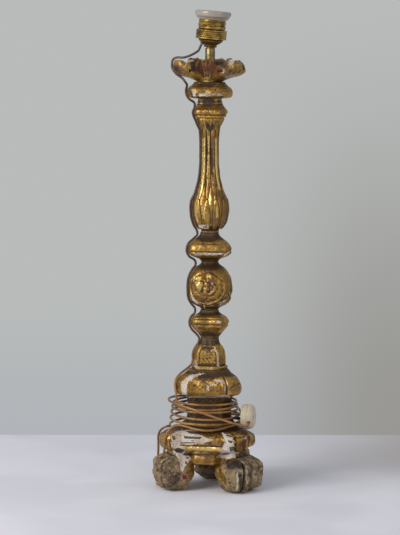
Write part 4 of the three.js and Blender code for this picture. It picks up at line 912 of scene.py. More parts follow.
@dataclass(frozen=True)
class PawPaint:
    """Grey-brown paint on carved wood, worn to the wood and to gesso on the toes."""

    name: str = "paw_paint"
    slot: str = "paw_paint"
    paint: str = "87704F"
    green: str = "5C4E35"
    pale: str = "A88E6E"
    pink: str = "A4836A"
    wood: str = "5A3320"
    gold: str = "9A7636"
    old_gold: str = "6E5222"
    grime_and_shade: str = "1E150E"
    scuff_and_highlight: str = "BFAE9A"
    stain: str = "4A2416"
    gesso: str = "CDBFB2"
    bole: str = "6A2018"

    def make(self) -> bpy.types.Material:
        """The material."""
        r = Recipe(self.name, self.paint)
        clouds, patches, specks = r.noise(20, 3), r.noise(7, 4, 0.55, 0.4), r.noise(1.8, 3, 0.6)
        hollow, proud = r.mark("hollow"), r.mark("proud")
        r.lay(self.green, clouds.over(0.42, 0.6))
        r.lay(self.pale, patches.over(0.5, 0.68) * 0.65)
        r.lay(self.pink, r.noise(12, 3, 0.5, 0.5).over(0.55, 0.66) * 0.6)
        gilt = (r.mark("gilt") + (patches - 0.5) * 0.9).over(0.4, 0.62)
        r.lay(r.mix(self.old_gold, self.gold, specks.over(0.4, 0.6)), gilt)
        r.lay(self.grime_and_shade, (hollow * 0.7 + patches * 0.5).over(0.48, 1.1) * 0.88)
        # Painted highlights on the toes share the pale scuff colour with real scuffs on proud places.
        scuffs_and_highlights = (proud * 0.3 + patches * 0.8 + specks * 0.5 + r.mark("light") * 0.4).over(0.98, 1.2)
        r.lay(self.scuff_and_highlight, scuffs_and_highlights * 0.7)
        bitten = (r.noise(4.5, 4, 0.7, 0.8) + clouds * 0.4).over(0.83, 0.9)
        r.lay(self.wood, bitten * 0.9)
        # Partly real wear, partly painted shade where the shade patches are drawn.
        worn = (r.mark("glaze") * 0.4 + specks * 0.7 + patches * 0.5).over(0.84, 1.02)
        r.lay(r.mix(self.stain, self.grime_and_shade, patches.over(0.45, 0.55)), worn * 0.85)
        pits = (specks + patches * 0.4).over(0.84, 0.94)
        r.lay(self.grime_and_shade, pits * 0.7)
        bare = (r.mark("gesso") + (specks - 0.5) * 0.9 + (patches - 0.5)).over(0.42, 0.6)
        r.lay(self.gesso, bare)
        r.lay(self.bole, (r.mark("bole") + (specks - 0.5)).over(0.4, 0.6))
        # Drawn dark places, partly dirt, partly painted shade.
        blots_and_shade = r.mark("dark") + (specks - 0.5) * 0.8 + (patches - 0.5) * 0.8
        r.lay(self.grime_and_shade, blots_and_shade.over(0.3, 0.85) * 0.9)
        height = patches * 0.6 + specks * 0.25 - bitten * 0.5
        return r.finish(Metallic=gilt * (1 - bare) * 0.7, Roughness=0.55 + specks * 0.2 - gilt * 0.15,
                        Normal=r.bump(height, 0.5, 0.6))


@dataclass(frozen=True)
class Brass:
    """Old brass with brown tarnish, darker in its grooves."""

    name: str = "aged_brass"
    slot: str = "aged_brass"
    bright: str = "BE9C54"
    tarnish: str = "6E5528"
    dark: str = "2C1F0E"
    polish: float = 0.32

    def make(self) -> bpy.types.Material:
        """The material."""
        r = Recipe(self.name, self.bright)
        clouds, specks = r.noise(12, 4, 0.6, 0.5), r.noise(1.4, 3)
        dull = (clouds + specks * 0.25).over(0.5, 0.78)
        r.lay(self.tarnish, dull)
        r.lay(self.dark, (r.mark("hollow") * 0.8 + specks * 0.4).over(0.35, 1.1))
        return r.finish(Metallic=1.0, Roughness=self.polish + dull * 0.16 + specks * 0.08,
                        Normal=r.bump(clouds * 0.4 + specks * 0.3, 0.25, 0.2))


@dataclass(frozen=True)
class Glazed:
    """A hard moulded or fired finish, dusty in its corners."""

    name: str
    slot: str
    main: str
    soiled: str
    rough: float
    coat: float = 0.0
    dirt: float = 0.4

    def make(self) -> bpy.types.Material:
        """The material."""
        r = Recipe(self.name, self.main)
        clouds, specks = r.noise(14, 3), r.noise(1.2, 3)
        soil = (r.mark("hollow") * 0.8 + clouds * 0.5 + specks * 0.25).over(0.5, 1.25)
        r.lay(self.soiled, soil * self.dirt + specks.over(0.66, 0.76) * 0.25)
        return r.finish(Roughness=self.rough + specks * 0.12, Coat_Weight=self.coat,
                        Coat_Roughness=0.12, Normal=r.bump(clouds * 0.5 + specks * 0.2, 0.2, 0.15))


@dataclass(frozen=True)
class BareWood:
    """Turned wood that was never painted."""

    name: str = "bare_wood"
    slot: str = "bare_wood"
    dark: str = "5A3A22"
    light: str = "8A613B"

    def make(self) -> bpy.types.Material:
        """The material."""
        r = Recipe(self.name)
        bands = r.node("ShaderNodeTexWave", {}, {"Vector": r.place, "Scale": 60.0, "Distortion": 6.0,
                                                 "Detail": 3.0}, out="Fac")
        r.colour = r.ramp(bands, (0.2, self.dark), (0.8, self.light))
        return r.finish(Roughness=0.7 + r.noise(1.5) * 0.15, Normal=r.bump(bands, 0.3, 0.2))


@dataclass(frozen=True)
class Flexible:
    """A smooth brown jacket: copper-brown where it is coiled, darker higher up, where it runs down the stem.
    """

    name: str = "flex_jacket"
    slot: str = "flex"
    copper: str = "744C22"
    worn: str = "9F7138"
    dirt: str = "3A2312"
    upper_dark: str = "2E1B0E"

    def make(self) -> bpy.types.Material:
        """The material."""
        r = Recipe(self.name, self.copper)
        clouds, specks = r.noise(25, 3), r.noise(6, 2)
        height = r.place.parts()[2]
        r.lay(self.worn, (clouds + specks * 0.15).over(0.45, 0.68))
        r.lay(self.dirt, (specks + clouds * 0.4).over(0.76, 0.95) * 0.45)
        r.lay(self.upper_dark, (height + clouds * 0.05).over(0.15, 0.3) * 0.85)
        return r.finish(Roughness=0.3 + specks * 0.14, Coat_Weight=0.2, Coat_Roughness=0.25,
                        Normal=r.bump(specks, 0.06, 0.1))


@dataclass(frozen=True)
class TableCloth:
    """White cloth with soft creases, painted lighter and darker across them, and painted shadow towards the
    far right.
    """

    name: str = "table_cloth"
    shaded: str = "DCDCE6"
    lit: str = "E6E5EF"
    far: str = "BDB7B4"

    def make(self) -> bpy.types.Material:
        """The material."""
        r = Recipe(self.name, self.shaded)
        folds, weave = r.noise(170, 2, 0.4, 0.5), r.noise(1.1, 2)
        r.lay(self.lit, folds.over(0.35, 0.65))
        right, away, _ = r.place.parts()
        # Painted shadow: the far right of the cloth is darker.
        r.lay(self.far, right.over(-0.02, 0.32) * away.over(-0.05, 0.3))
        return r.finish(Roughness=0.85 + weave * 0.1, Normal=r.bump(folds + weave * 0.02, 0.35, 6))


class Finish(Enum):
    """Every finish of the object, with the recipe that makes it."""

    GILDING = WornGilding()
    PAW_PAINT = PawPaint()
    BARE_WOOD = BareWood()
    FLEX = Flexible()
    BRASS = Brass()
    TUBE_BRASS = Brass("tube_brass", "aged_brass", "948258", "584A2C", "3A2C14", 0.36)
    CAP_BRASS = Brass("cap_brass", "aged_brass", "AE925A", "745E36", "2E2210", 0.38)
    PIN_BRASS = Brass("pin_brass", "aged_brass", "6A5E46", "453A26", "1C160E", 0.42)
    STEEL = Brass("steel", "steel", "7E7A70", "4A453C", "26221C", 0.4)
    PORCELAIN = Glazed("porcelain", "porcelain", "9E9488", "665C50", 0.24, 0.45, 0.6)
    IVORY = Glazed("ivory_plastic", "plug_plastic", "BFB298", "6E5F45", 0.32, 0.25, 0.8)
    BAKELITE = Glazed("bakelite", "bakelite", "2A1C14", "120C08", 0.4)


# ---- The workshop ----


def foot(node: str) -> float:
    """The height of a CAD node's underside, in mm."""
    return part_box(node)[0].z / MM


class Workshop:
    """Hands pieces their finish, body and place in the frame."""

    def __init__(self, frame: dict[str, object]) -> None:
        """Reads the stem's axis and the holder's lean from the frame, and makes the finishes."""
        self.frame = frame
        low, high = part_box("brass_tube")
        self.axis = Vector(((low.x + high.x) / 2, (low.y + high.y) / 2, 0))
        joint = next(j for j in frame["joints"] if j["name"] == "holder_shell_unscrews")
        self.holder_place = Vector(joint["pos_m"])
        self.holder_turn = Vector((0, 0, 1)).rotation_difference(Vector(joint["axis"]))
        self.view = PhotoView()
        self.stack: list[Array] = []
        self.wear = Wear(self.view, self.axis)
        bodies = frame["record"]["behaviour"]["bodies"]
        self.bodies = {node: body for body, nodes in bodies.items() for node in nodes}
        self.finishes = {finish: finish.value.make() for finish in Finish}

    def paint(self, made: bpy.types.Object, finish: Finish) -> None:
        """Gives a piece its material."""
        made.data.materials.clear()
        made.data.materials.append(self.finishes[finish])

    def dress(self, made: bpy.types.Object, nodes: Sequence[str], finish: Finish,
              reach: int = 14, scale: float = 0.16, fields: Fields | None = None) -> None:
        """Gives a piece its wear, finish and place in the frame.

        Args:
            made: The piece.
            nodes: The CAD nodes that it stands for.
            finish: Its finish.
            reach: How far the search for hollows reaches.
            scale: Depth in mm that counts as hollow.
            fields: More attributes for the finish to read.
        """
        if made.type == "MESH":
            self.wear.write(made, reach, scale, fields or {})
        self.paint(made, finish)
        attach(made, self.bodies[nodes[0]])
        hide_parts(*nodes)
        LOG.info("%s stands for %s", made.name, ", ".join(nodes))

    def keep(self, finish: Finish, *nodes: str) -> None:
        """Shows CAD nodes as they are, in one finish."""
        for node in nodes:
            self.paint(self.frame["nodes"][node], finish)
            LOG.info("%s is shown as it is", node)

    def carved(self, node: str, carving: Carving, reach: int = 14,
               neck: Point = (0.74, 0.5), fields: Fields | None = None) -> None:
        """Makes a gilded block of the stem, with painted shade in its necks.

        Args:
            node: The block's CAD node.
            carving: Its surface.
            reach: How far the search for hollows reaches.
            neck: Shares of the widest radius between which a neck is painted dark, as painted shade.
            fields: More attributes for the finish to read.
        """
        rings = carving.rings(foot(node))
        self.stack.append(rings)
        widest = np.hypot(rings[..., 0], rings[..., 1]).max()

        def valley(points: Array) -> Array:
            """Painted shade: 1 in a neck, 0 where the block is wide."""
            return 1 - smooth(neck[1], neck[0], np.hypot(points[:, 0], points[:, 1]) / widest)

        made = skin(f"{node}_carving", [rings], self.axis)
        self.dress(made, [node], Finish.GILDING, reach, 0.16, {"valley": valley} | (fields or {}))

    def profile(self, headings: Array, heights: Array) -> Array:
        """How far the stem reaches at each height, in the direction that goes with it."""
        reach = np.zeros(len(heights))
        for rings in self.stack:
            radii = np.hypot(rings[..., 0], rings[..., 1])
            columns = np.round(headings / 360 * rings.shape[1]).astype(int) % rings.shape[1]
            for i, (height, column) in enumerate(zip(heights, columns)):
                near = np.abs(rings[:, 0, 2] - height) < 1.1
                reach[i] = max(reach[i], radii[near, column].max(initial=0))
        return reach


# ---- Feet ----


@dataclass
class PawFeet:
    """Three carved paws, each with four toes, under the corners of the base."""

    reach: float = 52.5  # from the stem's axis to the middle of a paw
    height: float = 56.0
    half_length: float = 24.0
    half_width: float = 31.0
    squareness: float = 4.0
    stages: tuple[float, ...] = (0, 2, 5, 13, 24, 33, 39, 43, 46.5, 49, 56)
    toe_shares: tuple[float, ...] = (0.5, 0.7, 0.84, 0.98, 1.03, 1.0, 0.95, 0.8, 0.5, 0.3, 0.25)
    heel_shares: tuple[float, ...] = (0.25, 0.42, 0.6, 0.84, 0.98, 1.0, 1.0, 0.98, 0.98, 1.0, 1.04)
    width_shares: tuple[float, ...] = (0.5, 0.68, 0.8, 0.95, 1.0, 0.98, 0.92, 0.84, 0.72, 0.62, 0.6)
    cleft_depth: float = 8.0
    directions: dict[str, float] = field(
        default_factory=lambda: {"front_left": -150.0, "front_right": -30.0, "back": 90.0})

    def rings(self, seed: int) -> Array:
        """A paw's points in mm about its own upright axis, toes along +X."""
        sole = np.linspace(0, 1, 8) ** 0.5 * 2
        height = np.concatenate([sole, np.linspace(2.6, self.height, 84)])[:, None]
        angle = around(320)
        toe, heel, wide = (np.interp(height, self.stages, shares) * half for shares, half in (
            (self.toe_shares, self.half_length), (self.heel_shares, self.half_length),
            (self.width_shares, self.half_width)))
        long = heel + (toe - heel) * smooth(-0.25, 0.25, np.cos(angle))
        p = self.squareness
        radius = (np.abs(np.cos(angle) / long) ** p + np.abs(np.sin(angle) / wide) ** p) ** (-1 / p)
        x, y = radius * np.cos(angle), radius * np.sin(angle)
        place = y / self.half_width * 2  # whole numbers lie between toes
        cleft = np.abs(place - np.round(place)) + 2 * (np.abs(place) > 1.5)
        off_toe = np.abs(place - np.floor(place) - 0.5)
        front = smooth(2, 14, x) * smooth(48, 38, height)
        radius -= front * self.cleft_depth * bump(cleft, 0.17) * smooth(0.0, 5.0, height)
        knuckles = rolls(height, (3.0, 36, 5.5), (-2.6, 26, 3.5), (1.6, 16, 6))
        claws = rolls(height, (2.4, 6, 4.5))
        radius += front * (bump(off_toe, 0.34) * knuckles + bump(off_toe, 0.15) * claws)
        side = smooth(8, -6, x) * smooth(0.5, 0.9, np.abs(np.sin(angle)))
        radius -= side * rolls(height, (4.5, 41, 6))
        points = wrapped(radius, angle, height)
        lumps = 0.9 * Grain(15, seed).at(points) + 0.26 * Grain(5.5, seed + 9).at(points)
        points[..., :2] *= (1 + lumps / np.maximum(radius, 6))[..., None]
        return points

    def build(self, shop: Workshop) -> None:
        """Makes the paws and keeps their dowels."""

        def gilded(points: Array) -> Array:
            """1 on the flank that looks to the middle of the stand, above the ground."""
            flank = smooth(44, 34, np.hypot(points[:, 0], points[:, 1]))
            return flank * smooth(9, 17, points[:, 2])

        for seed, (place, degrees) in enumerate(self.directions.items(), start=30):
            rings = self.rings(seed) + (self.reach, 0, 0)
            turned = rings @ np.array(Matrix.Rotation(math.radians(degrees), 3, "Z")).T
            paw = skin(f"paw_carving_{place}", [turned], shop.axis)
            # Painted shade: the back paw, which stands in shade, gets no gilded flank and stays dark brown.
            fields = {} if place == "back" else {"gilt": gilded}
            shop.dress(paw, [f"paw_foot_{place}"], Finish.PAW_PAINT, 16, 0.3, fields)
            shop.keep(Finish.BARE_WOOD, f"foot_dowel_{place}")


# ---- The stack of carved blocks ----


@dataclass
class Base:
    """The base block with its bead and corner scrolls, and the arched apron under it."""

    height: float = 34.0
    face: float = 51.0
    top_face: float = 30.0
    apron_face: float = 46.0
    apron_corner: float = 35.0
    apron_depth: float = 20.0
    break_from: float = -47.0  # where the front right corner is broken off, in degrees
    break_to: float = -33.0
    split_face: float = 51.8  # the flat that the break leaves, looking 11 degrees from +X
    split_heading: float = 11.0
    overlap: float = 0.3  # how far the block stays under the waist

    def relief(self, angle: Array, height: Array, radius: Array) -> Array:
        """The bead along the lower edge, the crease before each corner scroll and the broken corner."""
        off, heading = off_face(angle), (np.degrees(angle) + 180) % 360 - 180
        bead = rolls(height, (1.0, 4.2, 3.0), (-1.3, 8.8, 0.9), (-0.7, 0.8, 0.7), (1.0, 17, 7))
        carved = smooth(44, 36, off) * bead - rolls(off, (1.6, 44, 2.2)) * smooth(31, 26, height)
        ragged = 1.5 * np.sin(height * 0.9) + 0.8 * np.sin(height * 2.3 + 1)
        broken = smooth(self.break_from - 1 + ragged, self.break_from + 1 + ragged, heading)
        broken *= smooth(self.break_to + 1.5, self.break_to - 0.5, heading) * smooth(24, 20, height)
        carved -= broken * (6.0 + 0.5 * np.sin(height * 3.1) * np.cos(heading * 1.3))
        split = self.split_face / np.cos(angle - math.radians(self.split_heading))
        split += 26 * smooth(6.8, 9.0, height)
        return carved + np.where(np.abs(heading) < 55, np.minimum(split - radius - carved, 0), 0)

    def apron(self, bottom: float) -> Array:
        """Rings of the apron, which arches between the paws."""
        angle, share = around(480), np.linspace(0, 1, 40)[:, None]
        ratio = self.apron_corner / self.apron_face
        radius = section_radius(angle, np.full(angle.shape, self.apron_face), ratio, 16)
        off = off_face(angle)
        swell = 1.4 * np.sin(math.pi * np.minimum(1, share * 1.5)) * smooth(0, 0.12, share)
        swell = swell - rolls(share, (1.0, 0.93, 0.05)) - 2.0 * (1 - smooth(0, 0.08, share))
        swell = swell + 0.5 * np.cos(np.radians(off) * 21) * smooth(30, 20, off) * (1 - share)
        edge = self.apron_depth - 1.5 + 6.5 * smooth(20, 40, off)
        return wrapped(radius + swell, angle, bottom - edge + share * (edge + 1))

    def build(self, shop: Workshop) -> None:
        """Makes the block and the apron as one piece."""
        h, f = self.height, self.face
        outline = Outline(f - 5, 0).to(f, 1.5, f, h * 0.3).to(f, h * 0.47)
        outline.to(f - 0.5, h * 0.71, f * 0.74, h * 0.81).to(f * 0.65, h * 0.9, self.top_face, h)
        block = Carving(outline, 1.2, ear=0.18, ear_ends=(0.6, 0.95), columns=540,
                        relief=self.relief, lumps=0.4)
        bottom = foot("waist_block") - self.overlap - h

        def valley(points: Array) -> Array:
            """Painted shade: 1 under the bead and at the foot of the waist."""
            radius, height = np.hypot(points[:, 0], points[:, 1]), points[:, 2] - bottom
            under = bump(height + 1.0, 2.4) * smooth(60, 54, radius)
            return np.maximum(0.8 * smooth(48, 34, radius) * smooth(20, 28, height), under)

        made = skin("base_carving", [block.rings(bottom), self.apron(bottom)], shop.axis)
        shop.dress(made, ["base_block"], Finish.GILDING, 16, 0.22, {"valley": valley})


@dataclass
class Stem:
    """The waist, the knops, the ball and the bell, up to the vase."""

    neck: float = 10.4
    cushion_face: float = 36.0
    cushion_height: float = 35.0
    bell_face: float = 18.4
    bell_height: float = 42.0
    ball_face: float = 27.6
    ball_height: float = 67.0
    ball_lines: tuple[tuple[float, float, tuple[Point, ...]], ...] = (  # height, width, places
        (1.5, 3.0, ((-5, 15), (-10, 12), (-14.5, 5), (-15, -4), (-11.5, -11), (-5, -14.5))),
        (1.3, 2.0, ((-8, 5), (-10, 0), (-8.5, -6), (-5, -9))),
        (1.0, 1.8, ((-3.5, 8.5), (-6, 10.5), (-9, 8))))

    def knop(self, widest: float, share: float, low: float, high: float) -> Outline:
        """A neck, a swelling that is widest at the share, a neck, 39 mm in all."""
        height, neck = 39, self.neck
        outline = Outline(neck, 0).to(neck, height * 0.14, widest, height * low, widest, height * share)
        return outline.to(widest, height * high, neck, height * 0.78, neck, height)

    def waist(self) -> Carving:
        """The drawn-in block that the flex is wound round."""
        outline = Outline(31, 0).to(25, 4.8, 25, 18).to(25, 32.8, 28, 40)
        return Carving(outline, 1.2, columns=300, seed=3)

    def lower_knop(self) -> Carving:
        """A cushion with scrolled corners."""
        f, h = self.cushion_face, self.cushion_height
        outline = Outline(f * 0.8, 0).to(f * 0.92, h * 0.03).to(f * 1.01, h * 0.1, f, h * 0.26)
        outline.to(f * 0.99, h * 0.56, f * 0.82, h * 0.74).to(f * 0.66, h * 0.85, 21, h)

        def relief(angle: Array, height: Array, radius: Array) -> Array:
            """A crease before each corner scroll and a lip below."""
            off = off_face(angle)
            lip = rolls(height, (0.7, 1.6, 1.2)) * smooth(44, 38, off)
            panel = rolls(off, (0.6, 35, 1.5)) * bump(height - 13, 8)
            return lip + panel - rolls(off, (1.6, 41, 2.2)) * smooth(32, 26, height)

        return Carving(outline, 1.17, ear=0.22, columns=450, relief=relief, seed=4)

    def bell(self) -> Carving:
        """A bell with a sunk panel on each face, on a ledge."""
        h, f = self.bell_height, self.bell_face
        outline = Outline(20.4, 0).to(20.4, h * 0.09).to(f, h * 0.12).to(f * 0.97, h * 0.42)
        outline.to(f * 0.92, h * 0.66, f * 0.68, h * 0.8).to(self.neck, h * 0.87, self.neck, h)

        def relief(angle: Array, height: Array, radius: Array) -> Array:
            """The sunk panel, its frame, and two leaves above it."""
            off, share = np.abs(across_face(angle)), height / h
            half = 0.67 - 0.12 * smooth(0.45, 0.75, share)
            sunk = smooth(half, half - 0.06, off) * smooth(0.13, 0.16, share) * smooth(0.74, 0.69, share)
            frame = bump(off - half - 0.05, 0.05) * smooth(0.1, 0.15, share) * smooth(0.8, 0.72, share)
            leaves = bump(np.hypot((off - 0.28) * 12, (share - 0.84) * h / 2.2), 1.3)
            ledge = rolls(height, (0.9, 3.2, 1.4), (-0.8, 5.6, 0.7))
            return 0.9 * frame - 1.6 * sunk + 1.1 * leaves + ledge

        return Carving(outline, 1.22, relief=relief, seed=5)

    def small_knop(self) -> Carving:
        """Two rolls between necks, with a groove between them and a line above."""
        relief = on_faces(50, 40, (-0.8, 20.2, 0.9), (-0.6, 27.4, 0.8), (0.5, 16.8, 1.8), (0.5, 23.6, 1.8))
        outline = self.knop(22, 0.57, 0.34, 0.86)
        return Carving(outline, 1.2, ear=0.06, columns=300, relief=relief, seed=6)

    def ball(self) -> Carving:
        """A ball with an oval frame, scrolls and a husk on each face."""
        h, f = self.ball_height, self.ball_face
        outline = Outline(self.neck + 0.6, 0).to(self.neck + 0.6, h * 0.04, f * 0.64, h * 0.08)
        outline.to(f * 0.96, h * 0.15, f, h * 0.3, f, h * 0.46)
        outline.to(f, h * 0.68, f * 0.86, h * 0.8, f * 0.6, h * 0.89).to(self.neck, h * 0.94, self.neck, h)

        def relief(angle: Array, height: Array, radius: Array) -> Array:
            """An open frame, nested mouldings below it, paired scrolls and a husk between them."""
            turn = across_face(angle)
            sway = 0.9 * np.sin(height * 0.31 + turn * 5) + 0.4 * np.sin(height * 0.9 + turn * 17)
            u, v = -np.abs(turn * 25 + 0.6 * sway), height - h * 0.5 + sway
            oval = np.hypot(turn * 25 / 22.5, (v - 0.7 * sway) / (0.345 * h))
            within, open_top = smooth(0.92, 0.84, oval), 1 - 0.75 * smooth(7, 15, v)
            broken = 0.55 + 0.45 * np.sin(turn * 19 + height * 0.4)
            frame = rolls(oval, (0.6, 1.02, 0.1)) - broken * rolls(oval, (0.9, 0.91, 0.045))
            nested = rolls(oval, (0.6, 1.03, 0.04), (-0.8, 1.12, 0.035), (0.6, 1.2, 0.04))
            scrolls = sum(high * bump(to_line(u, v, line), wide) for high, wide, line in self.ball_lines)
            husk = bump(u, 1.6) * smooth(10, 2, np.abs(v + 1))
            husk -= rolls(u, (0.9, -4.2, 1.2)) * smooth(13, 6, np.abs(v - 1))
            return open_top * frame + smooth(-6, -12, v) * nested + within * (scrolls + husk - 0.4)

        return Carving(outline, 1.12, 7, columns=480, spacing=0.6, relief=relief, seed=7)

    def upper_knop(self) -> Carving:
        """A swelling with a pale lip below, a groove over it and a line above."""
        relief = on_faces(52, 42, (0.8, 11.5, 1.3), (-0.9, 14.4, 0.9), (-0.5, 25, 0.9))
        outline = self.knop(25.4, 0.42, 0.1, 0.72)
        return Carving(outline, 1.2, ear=0.06, columns=330, relief=relief, seed=8)

    def build(self, shop: Workshop) -> None:
        """Makes each block on the height that its CAD node has."""
        shop.carved("waist_block", self.waist(), neck=(1.3, 1.1))
        shop.carved("lower_knop", self.lower_knop())
        shop.carved("bell_block", self.bell())
        shop.carved("small_knop", self.small_knop())
        shop.carved("ball_knop", self.ball())
        shop.carved("upper_knop", self.upper_knop())


@dataclass
class Vase:
    """The vase of long leaves whose shaft is reeded up to hanging leaf tips."""

    height: float = 156.5
    foot_face: float = 11.4
    face: float = 23.2
    slim: float = 11.2
    leaves: int = 12
    rows: tuple[tuple[float, ...], ...] = (  # where leaves start and end, half width, turn, low, high
        (0.1, 0.53, 13.5, 0, -1.9, 1.6), (0.06, 0.41, 14.2, 15, -1.3, 1.6),
        (0.03, 0.3, 14.4, 0, -0.7, 1.7), (1.02, 0.9, 15.5, 15, -0.9, 1.5),
        (1.02, 0.94, 9.0, 0, -0.1, 1.2))

    def leaf(self, turn: Array, share: Array, first: float, tip: float, half: float, shift: float) -> Array:
        """A row of pointed leaves round the vase: 0 outside them, 1 along their middles.

        Args:
            turn: Directions, in degrees.
            share: Share of the height.
            first: Where the leaves start.
            tip: Where they end; below first for leaves that hang.
            half: Half their width, in degrees.
            shift: Turns the row, in degrees.

        Returns:
            How full the leaf is at each place.
        """
        pitch = 360 / self.leaves
        off = np.abs((turn - shift + pitch / 2) % pitch - pitch / 2)
        along = np.clip((share - first) / (tip - first), 0, 1)
        width = half * np.sqrt(np.maximum(1 - along**2.6, 0)) * (0.7 + 0.3 * smooth(0, 0.4, along))
        on = ((share - first) * np.sign(tip - first) > 0) & (along < 1)
        return np.where(on, np.sqrt(np.clip(1 - (off / np.maximum(width, 1e-3)) ** 2, 0, 1)), 0)

    def carve(self, angle: Array, height: Array) -> tuple[Array, Array]:
        """Works out the leaves, the reeds and the hanging tips.

        Args:
            angle: Directions, in radians.
            height: Heights above the foot of the vase.

        Returns:
            How far the surface is moved out, and how near a place is to a leaf's outline, where shade is
            painted.
        """
        share, turn, half = height / self.height, np.degrees(angle), 180 / self.leaves
        off = np.abs((turn + half) % (2 * half) - half) / half
        reeded = smooth(0.3, 0.45, share)
        carved = -2.4 + reeded * (0.7 + 1.8 * np.sqrt(np.clip(1 - off**2, 0, 1)))
        crease_shade = reeded * smooth(0.62, 0.96, off)
        for first, tip, wide, shift, low, high in self.rows:
            full = self.leaf(turn, share, first, tip, wide, shift)
            carved = np.where(full > 0, low + high * full**0.8, carved)
            crease_shade = np.where(full > 0, smooth(0.6, 0.95, np.sqrt(1 - full**2)), crease_shade)
        return carved * smooth(0, 0.03, share) * smooth(1, 0.99, share), crease_shade

    def relief(self, angle: Array, height: Array, radius: Array) -> Array:
        """How far the surface is moved out."""
        return self.carve(angle, height)[0]

    def build(self, shop: Workshop) -> None:
        """Makes the vase."""
        h, f, s = self.height, self.face, self.slim
        bottom = foot("vase_baluster")

        def crease_shade(points: Array) -> Array:
            """Painted shade: 1 along the outlines of the leaves."""
            return 1.35 * self.carve(np.arctan2(points[:, 1], points[:, 0]), points[:, 2] - bottom)[1]

        outline = Outline(self.foot_face, 0).to(self.foot_face + 1.4, h * 0.02)
        outline.to(f, h * 0.07, f * 1.16, h * 0.2, f * 0.92, h * 0.31)
        outline.to(f * 0.68, h * 0.4, s, h * 0.49, s, h * 0.7)
        outline.to(s, h * 0.85, s, h * 0.92, s * 1.6, h)
        carving = Carving(outline, 1.07, 8, columns=384, spacing=0.68, relief=self.relief, lumps=0.15, seed=9)
        # The leaves' outlines get painted shade through the hollow attribute.
        shop.carved("vase_baluster", carving, 9, (0.42, 0.4), {"hollow": crease_shade})


@dataclass
class Collars:
    """The moulded collars over the shaft and under the drip pan."""

    shaft_face: float = 20.8
    shaft_height: float = 27.0
    pan_face: float = 26.2
    pan_height: float = 22.0

    def shaft(self) -> Carving:
        """The collar on the shaft, with fine turned lines."""
        f, h = self.shaft_face, self.shaft_height
        outline = Outline(f * 0.8, 0).to(f * 0.92, h * 0.07).to(f * 0.96, h * 0.13, f * 0.93, h * 0.18)
        outline.to(f * 1.08, h * 0.28, f * 0.96, h * 0.44).to(f * 0.82, h * 0.56, f * 0.74, h * 0.68)
        outline.to(f * 0.67, h * 0.84, f * 0.67, h)
        relief = on_faces(200, 100, (-0.8, 4.6, 0.6), (-0.5, 1.2, 0.5), (-0.5, 19, 0.7))
        return Carving(outline, 1.15, columns=300, spacing=0.55, relief=relief, seed=10)

    def pan(self) -> Carving:
        """The collar under the pan, with a lip at its foot."""
        f, h = self.pan_face, self.pan_height
        outline = Outline(f * 0.76, 0).to(f * 0.92, h * 0.05).to(f * 1.04, h * 0.2, f, h * 0.4)
        outline.to(f * 0.97, h * 0.6, f * 0.82, h * 0.76).to(f * 0.7, h * 0.88, f * 0.66, h)

        def relief(angle: Array, height: Array, radius: Array) -> Array:
            """A lip on each face, the line over it, and a line all round."""
            lip = rolls(height, (0.7, 3, 1.2), (-0.8, 5.6, 0.8))
            return smooth(52, 42, off_face(angle)) * lip - rolls(height, (0.5, 16.5, 0.8))

        return Carving(outline, 1.2, ear=0.06, columns=330, spacing=0.55, relief=relief, seed=11)

    def build(self, shop: Workshop) -> None:
        """Makes both collars."""
        shop.carved("shaft_collar", self.shaft(), neck=(0.72, 0.6))
        shop.carved("pan_collar", self.pan(), neck=(0.72, 0.6))


